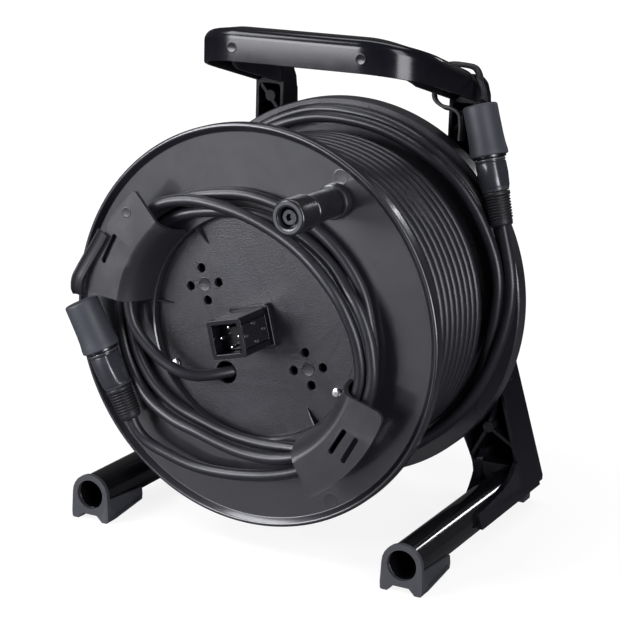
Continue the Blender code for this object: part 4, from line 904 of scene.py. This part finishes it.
# %% Centre block
BLOCK_TURN = 14.0
SOCKET_FLOOR_Y = -15.7
SIDE_FACE = 12.8
PIN_STEPS = 20
SIDE_STUDS = [(-23.7, 0.0), (-12.7, 5.9), (-12.7, -5.9), (-1.7, 0.0)]


def block_turned(x, z):
    turn = math.radians(BLOCK_TURN)
    return (x * math.cos(turn) - z * math.sin(turn), x * math.sin(turn) + z * math.cos(turn))


def slab(x_low, x_high, y_low, y_high, half):
    """A box that is turned with the block."""
    corners = ((x_low, -half), (x_low, half), (x_high, half), (x_high, -half))
    turned = [block_turned(x, z) for x, z in corners]
    return loft([[(x, y, z) for x, z in turned] for y in (y_low, y_high)])


def stud(y, z):
    """A small domed stud that stands out of the block's right side."""
    base, top = [block_turned(SIDE_FACE + offset, z) for offset in (-0.6, 1.0)]
    dome = turn_open([(1.3, 0.0), (1.3, 0.9), (1.1, 1.35), (0.6, 1.6)], PIN_STEPS)
    return moved(dome, along((base[0], y, base[1]), (top[0], y, top[1])))


soften("centre_block", "drum", FRAME_PLASTIC, 0.6, 3)
soften("block_base", "drum", FRAME_PLASTIC, 0.5)
plate_shape = slab(-9.2, 9.2, SOCKET_FLOOR_Y - 1.8, SOCKET_FLOOR_Y - 0.4, 9.2)
contact_plate = make_mesh("contact_plate", plate_shape, FRAME_PLASTIC, "drum",
                          ["block_contacts"])
round_edges(contact_plate, 0.3)
pin = turn_open([(0.5, -8.4), (1.0, -8.1), (1.15, -7.5), (1.15, -1.0)], PIN_STEPS)
ring_of("contact_pins", pin, PIN_METAL, 4, 6.6, SOCKET_FLOOR_Y, BLOCK_TURN, 90.0)
side_shape = slab(SIDE_FACE - 1.2, SIDE_FACE - 0.3, -27.0, 1.6, 7.9)
side_plate = make_mesh("side_plate", side_shape, FRAME_PLASTIC, "drum", ["side_contacts"])
round_edges(side_plate, 0.25)
make_mesh("side_studs", joined([stud(y, z) for y, z in SIDE_STUDS]), PIN_METAL, "drum")

# %% [markdown]
# The crank knob turns on its pin. Its front bowl holds the screw, and a waist lets the fingers hook
# behind the head. One profile gives all of that, turned in many steps. A thin flat ring of paler grey
# lies on the front rim: a painted highlight of the rim.

# %% Crank
KNOB_FRONT_Y = -59.2
KNOB_RADIUS = 11.3
KNOB_STEPS = 96
RIM_STEPS = 72
CRANK_CENTRE = polar(57.2, 109.3, 0.0)[::2]


def knob_profile():
    f = KNOB_FRONT_Y
    r = KNOB_RADIUS
    profile = [(6.7, f + 7.2), (6.7, f + 1.0), (7.0, f + 0.3)]
    profile += arc((r - 2.2, f + 2.2), 2.2, 250.0, 360.0, 8)
    profile += [(r, f + 8.0), (r, f + 19.4)]
    profile += arc((r - 2.0, f + 20.0), 2.0, 0.0, 70.0, 5)
    profile += [(8.1, f + 22.4), (8.1, f + 24.6), (8.5, f + 25.4), (9.2, f + 26.0), (9.5, f + 32.0)]
    return profile + [(9.5, -7.0), (9.2, -4.4), (8.6, -3.2), (4.3, -3.2), (4.3, f + 7.2)]


knob = make_mesh("crank_knob_look", turn_closed(knob_profile(), KNOB_STEPS, CRANK_CENTRE), KNOB_PLASTIC,
                 "crank_knob", ["crank_knob"])
round_edges(knob, 0.3)
soften("crank_pin", "drum", FLANGE_PLASTIC, 0.3)
soften("crank_screw", "drum", DARK_STEEL, 0.25)
# A thin ring of paler grey on the knob's front: a painted highlight of the rounded rim.
rim = [(radius, KNOB_FRONT_Y + y) for radius, y in ((8.0, 0.05), (9.9, 0.05), (9.7, -0.18), (8.2, -0.18))]
make_mesh("knob_rim", turn_closed(rim, RIM_STEPS, CRANK_CENTRE), GREY_RUBBER, "crank_knob")
print("Crank pin at x and z in mm:", [round(v, 1) for v in CRANK_CENTRE])

# %% [markdown]
# The two cable holders end in flat plates. On the real ones the plate's corners and the ends of its slots
# are round. Those corners are the edges that run along y through the plate, so they are easy to find and
# get their own wide bevel before the fine one.

# %% Cable holders
HOLDER_FRONT_Y = -21.0
HOLDER_WALL = 2.8
PLATE_RIM_RADIUS = 114.0
WIDE_BEVEL = (6.5, 6)
NARROW_BEVEL = (2.2, 4)
SLOT_BEVEL = (1.5, 4)
HOLDER_MARK = "holder_mark.001"


def round_plate(work):
    wide = []
    narrow = []
    slot_ends = []
    for edge in work.edges:
        first, second = [(v.co - ORIGIN) / MM for v in edge.verts]
        upright = math.hypot(first.x - second.x, first.z - second.z) < 0.1 and abs(first.y - second.y) > 2.0
        in_plate = max(first.y, second.y) <= HOLDER_FRONT_Y + HOLDER_WALL + 0.2
        if upright and in_plate and edge.is_manifold and edge.calc_face_angle() >= math.radians(50.0):
            outermost = wide if -60.0 < first.z < 0.0 else narrow
            (outermost if math.hypot(first.x, first.z) > PLATE_RIM_RADIUS else slot_ends).append(edge)
    print("Holder corners:", len(wide) + len(narrow), "slot ends:", len(slot_ends))
    for edges, (width, segments) in ((wide, WIDE_BEVEL), (narrow, NARROW_BEVEL), (slot_ends, SLOT_BEVEL)):
        corners = [edge for edge in edges if edge.is_valid]
        if corners:
            bmesh.ops.bevel(work, geom=corners, offset=width * MM, segments=segments, affect="EDGES",
                            profile=0.5)


for name in ("upper_holder", "lower_holder"):
    soften(name, "drum", HOLDER_PLASTIC, 0.9, 3, 0.5, round_plate)
ring_of(HOLDER_MARK, mark(3.6, 0.25), HOLDER_PLASTIC, centre=(-81.5, HOLDER_FRONT_Y, 71.5))

# %% [markdown]
# The handle is a channel, open below. CAD draws its run with few sections; here the same section is
# carried through many more. Both its top and its lower edge fall towards the back, by a slope of their
# own, and thin ribs cross the channel at an even pitch, as under many moulded handles.

# %% Handle
HANDLE_FRONT_Y = 54.0
HANDLE_TOP_Z = 187.0
HANDLE_TOP_SLOPE = 0.29
HANDLE_LOW_SLOPE = 0.26
HANDLE_HEIGHT = 22.0
HANDLE_HALF_WIDTH = 88.5
HANDLE_WIDTH = 22.0
HANDLE_CORNER = 44.0
HANDLE_END_Y = 157.7
HANDLE_WALL = 2.8
HANDLE_ROUND_Y = 142.0
HANDLE_ROUNDING = 0.02
SIDE_STATIONS = 8
CORNER_STATIONS = 32
CROWN_WIDTH = 5.4
CROWN_HEIGHT = 6.5


def handle_top(y):
    round_over = max(0.0, y - HANDLE_ROUND_Y) ** 2 * HANDLE_ROUNDING
    return HANDLE_TOP_Z - HANDLE_TOP_SLOPE * (y - HANDLE_FRONT_Y) - round_over


def handle_bottom(y):
    return HANDLE_TOP_Z - HANDLE_HEIGHT - HANDLE_LOW_SLOPE * (y - HANDLE_FRONT_Y)


def handle_stations():
    """Points of the outer face in plan, each with its outward direction, from right to left."""
    corner_x = HANDLE_HALF_WIDTH - HANDLE_CORNER
    corner_y = HANDLE_FRONT_Y + HANDLE_CORNER
    right = [(HANDLE_HALF_WIDTH, HANDLE_END_Y + (corner_y - HANDLE_END_Y) * k / SIDE_STATIONS, 1.0, 0.0)
             for k in range(SIDE_STATIONS)]
    for k in range(CORNER_STATIONS + 1):
        turn = math.radians(90.0 * k / CORNER_STATIONS)
        c = math.cos(turn)
        s = math.sin(turn)
        right.append((corner_x + HANDLE_CORNER * c, corner_y - HANDLE_CORNER * s, c, -s))
    return right + [(-x, y, -nx, ny) for x, y, nx, ny in reversed(right)]


def handle_outline():
    """The section: how far inwards, which share of the height, and an offset from there."""
    w = HANDLE_WIDTH
    t = HANDLE_WALL
    crown = [(0.0, 1.0, -CROWN_HEIGHT)]
    for k in range(1, 8):
        turn = math.radians(90.0 * k / 8)
        crown.append((CROWN_WIDTH * (1 - math.cos(turn)), 1.0, CROWN_HEIGHT * (math.sin(turn) - 1)))
    crown.append((CROWN_WIDTH, 1.0, 0.0))
    outer = [(0.4, 0.0, 0.0), (0.0, 0.0, 0.5)] + crown
    outer += [(w - inwards, share, offset) for inwards, share, offset in reversed(crown)]
    outer += [(w, 0.0, 0.5), (w - 0.4, 0.0, 0.0)]
    return outer + [(w - t, 0.0, 0.0), (w - t, 1.0, -7.5), (w - t - 3.0, 1.0, -t), (t + 3.0, 1.0, -t),
                    (t, 1.0, -7.5), (t, 0.0, 0.0)]


def handle_ring(station, outline):
    x, y, nx, ny = station
    low = handle_bottom(y)
    height = handle_top(y) - low
    return [(x - nx * inwards, y - ny * inwards, low + height * share + offset)
            for inwards, share, offset in outline]


handle_rings = [handle_ring(station, handle_outline()) for station in handle_stations()]
make_mesh("handle_look", loft(handle_rings), FRAME_PLASTIC, "frame", ["handle"])

# %% Handle ribs and marks
RIB_HALF_THICKNESS = 0.9
RIB_TOP = 6.5
RIB_PITCH = 15.0
RIB_LEVEL = HANDLE_TOP_Z - 10.0
rib_reach = HANDLE_WIDTH / 2 - HANDLE_WALL + 0.2
rib_low = handle_bottom(HANDLE_FRONT_Y) + 1.0 - RIB_LEVEL
rib_points = [(x, y, z) for x in (-RIB_HALF_THICKNESS, RIB_HALF_THICKNESS) for y in (-rib_reach, rib_reach)
              for z in (rib_low, RIB_TOP)]
row_of("handle_ribs", (rib_points, BOX_FACES), 7, (-45.0, HANDLE_FRONT_Y + HANDLE_WIDTH / 2, RIB_LEVEL),
       (RIB_PITCH, 0.0, 0.0))
row_of("handle_marks", mark(3.8, 0.25), 2, (-48.0, HANDLE_FRONT_Y + 0.05, 174.5), (96.0, 0.0, 0.0))

# %% [markdown]
# Each connector hangs or lies askew, so it is built straight, along its own axis from the closed end of
# the cap, and then carried to its place by one matrix. The cap is soft rubber with a flared lip, the
# shell has two wrench flats, and the boot is a stack of soft ribs that shrink towards the cable.

# %% Connector helpers
CAP_LENGTH = 35.0
CAP_TOP_RADIUS = 11.8
CAP_LIP_RADIUS = 13.0
SHELL_RADIUS = 9.6
FLAT_DISTANCE = SHELL_RADIUS - 0.4
CAP_STEPS = 56
SHELL_STEPS = 64
BOOT_STEPS = 40
BOOT_SHARP = 50.0
BOOT_RADIUS = 7.6
BOOT_LENGTH = 23.0
BOOT_RIBS = 8
RIB_SPACING = 1.95
RIB_SHRINK = 0.1


def cap_profile():
    r = CAP_TOP_RADIUS
    lip = CAP_LIP_RADIUS
    end = CAP_LENGTH
    profile = [(0.4, 0.0), (4.0, 0.05), (r - 1.8, 0.2)]
    profile += arc((r - 1.8, 2.0), 1.8, -75.0, 0.0, 5)
    profile += [(r, 9.0), (r + 0.2, end - 14.0), (r + 0.5, end - 8.0), (lip - 0.2, end - 4.2)]
    return profile + [(lip, end - 3.2), (lip, end - 0.6), (lip - 0.5, end), (lip - 1.0, end),
                      (lip - 1.2, end - 5.0), (r - 1.4, end - 10.0), (r - 1.4, 2.6)]


def boot_profile(length):
    start = length - BOOT_LENGTH
    r = BOOT_RADIUS
    profile = [(r + 1.2, start), (r + 1.6, start + 0.5), (r + 1.6, start + 2.4), (r + 1.2, start + 2.9)]
    for k in range(BOOT_RIBS):
        s = start + 3.4 + k * RIB_SPACING
        top = r + 1.2 - RIB_SHRINK * k
        profile += [(top - 0.75, s - 0.25), (top - 0.15, s), (top, s + 0.35), (top, s + 0.8),
                    (top - 0.2, s + 1.1), (top - 0.75, s + 1.3)]
    return profile + [(7.4, length - 3.6), (7.5, length - 3.1), (7.2, length - 0.7), (6.6, length),
                      (4.0, length)]


def shell_shape(length):
    """The shell's barrel with two flats: points past a flat are pressed back onto it."""
    r = SHELL_RADIUS
    lip = CAP_LENGTH
    end = length - BOOT_LENGTH
    profile = [(r, lip + 2.0), (r + 0.6, lip + 2.3), (r + 0.8, lip + 2.9), (r + 0.6, lip + 3.5),
               (r + 0.2, lip + 3.8), (r + 0.2, lip + 4.3), (r + 0.6, lip + 4.7), (r + 0.7, lip + 5.0),
               (r + 0.9, lip + 12.0), (r + 0.2, end - 3.6), (r, end - 3.2), (r - 0.3, end - 2.0),
               (r - 0.8, end - 0.5), (r - 1.6, end - 0.3)]
    points, faces = turn_open(profile, SHELL_STEPS)
    pressed = []
    for x, y, z in points:
        if lip + 4.9 < y < end - 3.4:
            x = max(-FLAT_DISTANCE, min(FLAT_DISTANCE, x))
        pressed.append((x, y, z))
    return pressed, faces


# %% The two connectors
OUTER_CAP_TOP = (99.6, 131.0, 140.9)
OUTER_BOOT_END = (124.4, 121.5, 62.8)
INNER_CAP_TOP = (-119.7, -18.5, 5.7)
INNER_BOOT_END = (-84.3, -10.0, -72.7)


def make_connector(prefix, cap_top, boot_end, body):
    matrix = along(cap_top, boot_end)
    length = (Vector(boot_end) - Vector(cap_top)).length
    print(prefix, "is", round(length, 1), "mm long")
    boot_shape = turn_open(boot_profile(length), BOOT_STEPS)
    parts = [("_cap", turn_open(cap_profile(), CAP_STEPS), GREY_RUBBER, "grey_rubber", PIECE_SHARP),
             ("_shell", shell_shape(length), SHELL_COAT, "shell_coat", PIECE_SHARP),
             ("_boot", boot_shape, BLACK_RUBBER, "black_rubber", BOOT_SHARP)]
    pieces = [make_mesh(prefix + part + "_look", moved(shape, matrix), material, body,
                        [prefix + part], sharp) for part, shape, material, slot_name, sharp in parts]
    return pieces + [soften(prefix + "_ring", body, DARK_STEEL, 0.2)]


outer_set = make_connector("outer_connector", OUTER_CAP_TOP, OUTER_BOOT_END, "frame")
inner_set = make_connector("inner_connector", INNER_CAP_TOP, INNER_BOOT_END, "drum")

# %% [markdown]
# A rubber strap ties each cap to what is near it. It is a flat band with a raised bead along each edge,
# swept along a smooth line. The width follows the path's own frame, which stays steady because each
# section is turned from the last one by the least angle. A flat black bar lies just behind the upper
# holder's plate, along its inner slot, so that the slot looks dark.

# %% Straps
OUTER_STRAP = [
    (99.8, 137.85, 142.3), (96.4, 142.6, 149.0), (92.2, 147.0, 154.0), (90.8, 148.6, 158.4),
    (87.4, 148.6, 162.6), (80.0, 148.4, 163.8), (70.0, 148.4, 163.8), (64.2, 148.2, 161.4),
    (61.6, 147.6, 154.0), (59.4, 146.6, 146.0), (60.6, 145.4, 139.0), (67.0, 144.4, 134.8),
    (75.0, 143.0, 133.8), (81.6, 140.6, 131.0), (84.2, 138.0, 124.0), (84.8, 136.4, 114.0),
]
INNER_STRAP = [
    (-98.4, -23.0, 56.4), (-102.0, -23.0, 50.0), (-107.6, -23.2, 41.0), (-113.4, -24.2, 31.0),
    (-117.0, -25.6, 23.0), (-118.4, -24.8, 15.8), (-118.9, -22.0, 11.4),
]
STRAP_SPACING = 1.2
STRAP_SHARP = 60.0
WIDTH_SHARES = (-1.0, -0.95, -0.8, -0.62, -0.5, 0.5, 0.62, 0.8, 0.95, 1.0)
HEIGHT_SHARES = (0.3, 0.8, 1.0, 0.85, 0.5, 0.5, 0.85, 1.0, 0.8, 0.3)


def band(points, side, width, thickness):
    """A flat band along a smooth line. side is the way its width points at the start."""
    route = smooth_route(points, STRAP_SPACING)
    section = [(u * width / 2, v * thickness / 2) for u, v in zip(WIDTH_SHARES, HEIGHT_SHARES)]
    section += [(u, -v) for u, v in reversed(section)]
    rings = []
    across = Vector(side).normalized()
    before = (route[1] - route[0]).normalized()
    for k, spot in enumerate(route):
        ahead = (route[min(k + 1, len(route) - 1)] - route[max(k - 1, 0)]).normalized()
        across = before.rotation_difference(ahead) @ across
        across = (across - ahead * across.dot(ahead)).normalized()
        out = ahead.cross(across)
        rings.append([tuple(spot + across * u + out * v) for u, v in section])
        before = ahead
    return loft(rings)


def flat_bar(start, end, width, y_front, y_back):
    """A short flat bar that faces the front, between two points (x, z)."""
    run = Vector((end[0] - start[0], 0.0, end[1] - start[1])).normalized()
    across = Vector((-run.z, 0.0, run.x)) * (width / 2)
    corners = ((y_front, -1.0), (y_front, 1.0), (y_back, 1.0), (y_back, -1.0))
    return loft([[tuple(Vector((x, y, z)) + across * side) for y, side in corners] for x, z in (start, end)])


outer_strap = make_mesh("outer_strap_look", band(OUTER_STRAP, (0.0, 1.0, 0.0), 6.8, 2.6), BLACK_RUBBER,
                        "frame", ["outer_strap"], STRAP_SHARP)
inner_strap = make_mesh("inner_strap_look", band(INNER_STRAP, (0.87, 0.0, -0.5), 9.0, 2.4), BLACK_RUBBER,
                        "drum", ["inner_strap"], STRAP_SHARP)
# A flat black bar just behind the upper holder's inner slot, so that the slot looks dark.
dark_slot_bar = make_mesh("inner_strap_end", flat_bar((-92.0, 56.5), (-103.0, 34.5), 10.0, -18.0, -16.6),
                      BLACK_RUBBER, "drum")
round_edges(dark_slot_bar, 0.4)
print("Strap faces:", len(outer_strap.data.polygons), "and", len(inner_strap.data.polygons))

# %% Count the pieces of the two cords
print("Cords with their pieces:", len(outer_set) + 1, "and", len(inner_set) + 2)

# %% [markdown]
# The foot tubes are drawn again with more steps than the CAD gives them, so that the long highlight on
# the gloss coat has no facets. The shoes are soft rubber cradles under the front of the tubes.

# %% Tubes and shoes
TUBE_RADIUS = 13.0
TUBE_BORE = 10.4
TUBE_FRONT_Y = -4.7
TUBE_BACK_Y = 195.0
TUBE_X = 120.1
TUBE_Z = -136.1
TUBE_STEPS = 84
TUBE_WALL = [(TUBE_RADIUS, TUBE_FRONT_Y), (TUBE_RADIUS, TUBE_BACK_Y), (TUBE_BORE, TUBE_BACK_Y),
             (TUBE_BORE, TUBE_FRONT_Y)]
for side_name, x in (("left", -TUBE_X), ("right", TUBE_X)):
    pipe = make_mesh(side_name + "_tube_look", turn_closed(TUBE_WALL, TUBE_STEPS, (x, TUBE_Z)), TUBE_COAT,
                     "frame", [side_name + "_foot_tube"])
    round_edges(pipe, 0.4)
    soften(side_name + "_foot_shoe", "frame", SHOE_RUBBER, 0.9, 3)
print("Tube length:", round(TUBE_BACK_Y - TUBE_FRONT_Y, 1), "mm")

# %% [markdown]
# The studio is a plain white floor under large soft lamps. For the camera alone the floor is partly its
# own light, so it reads as white and still keeps a soft shadow under the drum. For every other ray it
# is a darker grey, so it neither lights the black plastic from below nor shows as a white mirror image.

# %% Floor
FLOOR_EDGE = 6.0
FADE_START = 0.2
FADE_RATE = 4.0
GLOW_STRENGTH = 1.07
GLOW_FAR = 0.2
GLOW_NEAR = 0.8
SEEN_WHITE = (0.86, 0.86, 0.87)
UNSEEN_GREY = (0.2, 0.2, 0.21)
MIRRORED_NEAR = (0.09, 0.09, 0.095)
MIRRORED_FAR = (0.045, 0.045, 0.05)


def make_floor_material():
    material, tree, shader = new_material("white floor")
    shader.inputs["Roughness"].default_value = 0.6
    coords = add_node(tree, "ShaderNodeTexCoord")
    reach = add_node(tree, "ShaderNodeVectorMath", operation="LENGTH")
    wire(tree, coords, "Object", reach, 0)
    past = math_node(tree, "SUBTRACT", reach.outputs["Value"], FADE_START)
    far = math_node(tree, "MULTIPLY", past, FADE_RATE, True)
    path = add_node(tree, "ShaderNodeLightPath")
    glow = add_node(tree, "ShaderNodeEmission")
    glow.inputs["Strength"].default_value = GLOW_STRENGTH
    share = math_node(tree, "ADD", math_node(tree, "MULTIPLY", far, GLOW_FAR), GLOW_NEAR)
    share = math_node(tree, "MULTIPLY", share, path.outputs["Is Camera Ray"])
    mirrored = mix_colour(tree, far, MIRRORED_NEAR, MIRRORED_FAR)
    unseen = mix_colour(tree, path.outputs["Is Glossy Ray"], UNSEEN_GREY, mirrored)
    bare = mix_colour(tree, path.outputs["Is Camera Ray"], unseen, SEEN_WHITE)
    feed(tree, shader.inputs["Base Color"], bare)
    blend = add_node(tree, "ShaderNodeMixShader")
    feed(tree, blend.inputs["Fac"], share)
    wire(tree, shader, "BSDF", blend, 1)
    wire(tree, glow, "Emission", blend, 2)
    wire(tree, blend, "Shader", tree.nodes["Material Output"], "Surface")
    return material


floor_corners = [(x, y, 0.0) for x, y in ((-FLOOR_EDGE, -FLOOR_EDGE), (FLOOR_EDGE, -FLOOR_EDGE),
                                          (FLOOR_EDGE, FLOOR_EDGE), (-FLOOR_EDGE, FLOOR_EDGE))]
floor_mesh = bpy.data.meshes.new("floor")
floor_mesh.from_pydata(floor_corners, [], [(0, 1, 2, 3)])
floor_mesh.materials.append(make_floor_material())
show("floor", floor_mesh)
print("Floor width:", FLOOR_EDGE * 2, "m")

# %% [markdown]
# The lamps are placed by the highlights in the photograph. Each row gives a name, a place, the height
# above the middle of the floor that the lamp aims at, its own width and height, and a power in watts.

# %% Lamps and world
LAMP_COLOUR = (0.945, 0.95, 1.0)
AMBIENT = 0.07
LAMPS = [
    ("front left softbox", (-0.95, -1.45, 0.5), 0.2, 0.9, 0.6, 36.0),
    ("upper left softbox", (-0.9, -0.7, 1.2), 0.2, 0.6, 0.6, 16.0),
    ("right card", (1.25, -0.72, 0.17), 0.2, 0.55, 0.45, 12.0),
    ("upper right strip", (1.08, -0.7, 0.78), 0.2, 0.42, 0.9, 10.0),
    ("top softbox", (0.0, 0.3, 1.4), 0.15, 1.2, 0.4, 8.0),
    ("rear lamp", (0.5, 1.5, 0.8), 0.15, 0.1, 0.25, 1.6),
]


def make_lamp(name, spot, aim, width, height, power):
    data = bpy.data.lights.new(name, "AREA")
    data.shape = "RECTANGLE"
    data.size = width
    data.size_y = height
    data.energy = power
    data.color = LAMP_COLOUR
    lamp = show(name, data)
    lamp.location = spot
    lamp.rotation_mode = "QUATERNION"
    lamp.rotation_quaternion = (Vector((0.0, 0.0, aim)) - Vector(spot)).to_track_quat("-Z", "Y")


def make_world():
    world = bpy.data.worlds.new("studio")
    bpy.context.scene.world = world
    world.use_nodes = True
    tree = world.node_tree
    back = tree.nodes["Background"]
    feed(tree, back.inputs["Color"], (1.0, 1.0, 1.0))
    path = add_node(tree, "ShaderNodeLightPath")
    seen = math_node(tree, "MAXIMUM", path.outputs["Is Camera Ray"], path.outputs["Is Transmission Ray"])
    feed(tree, back.inputs["Strength"], math_node(tree, "MAXIMUM", seen, AMBIENT))


make_world()
for lamp_values in LAMPS:
    make_lamp(*lamp_values)
bpy.context.scene.view_settings.view_transform = "Standard"
print("Lamps:", len(LAMPS))
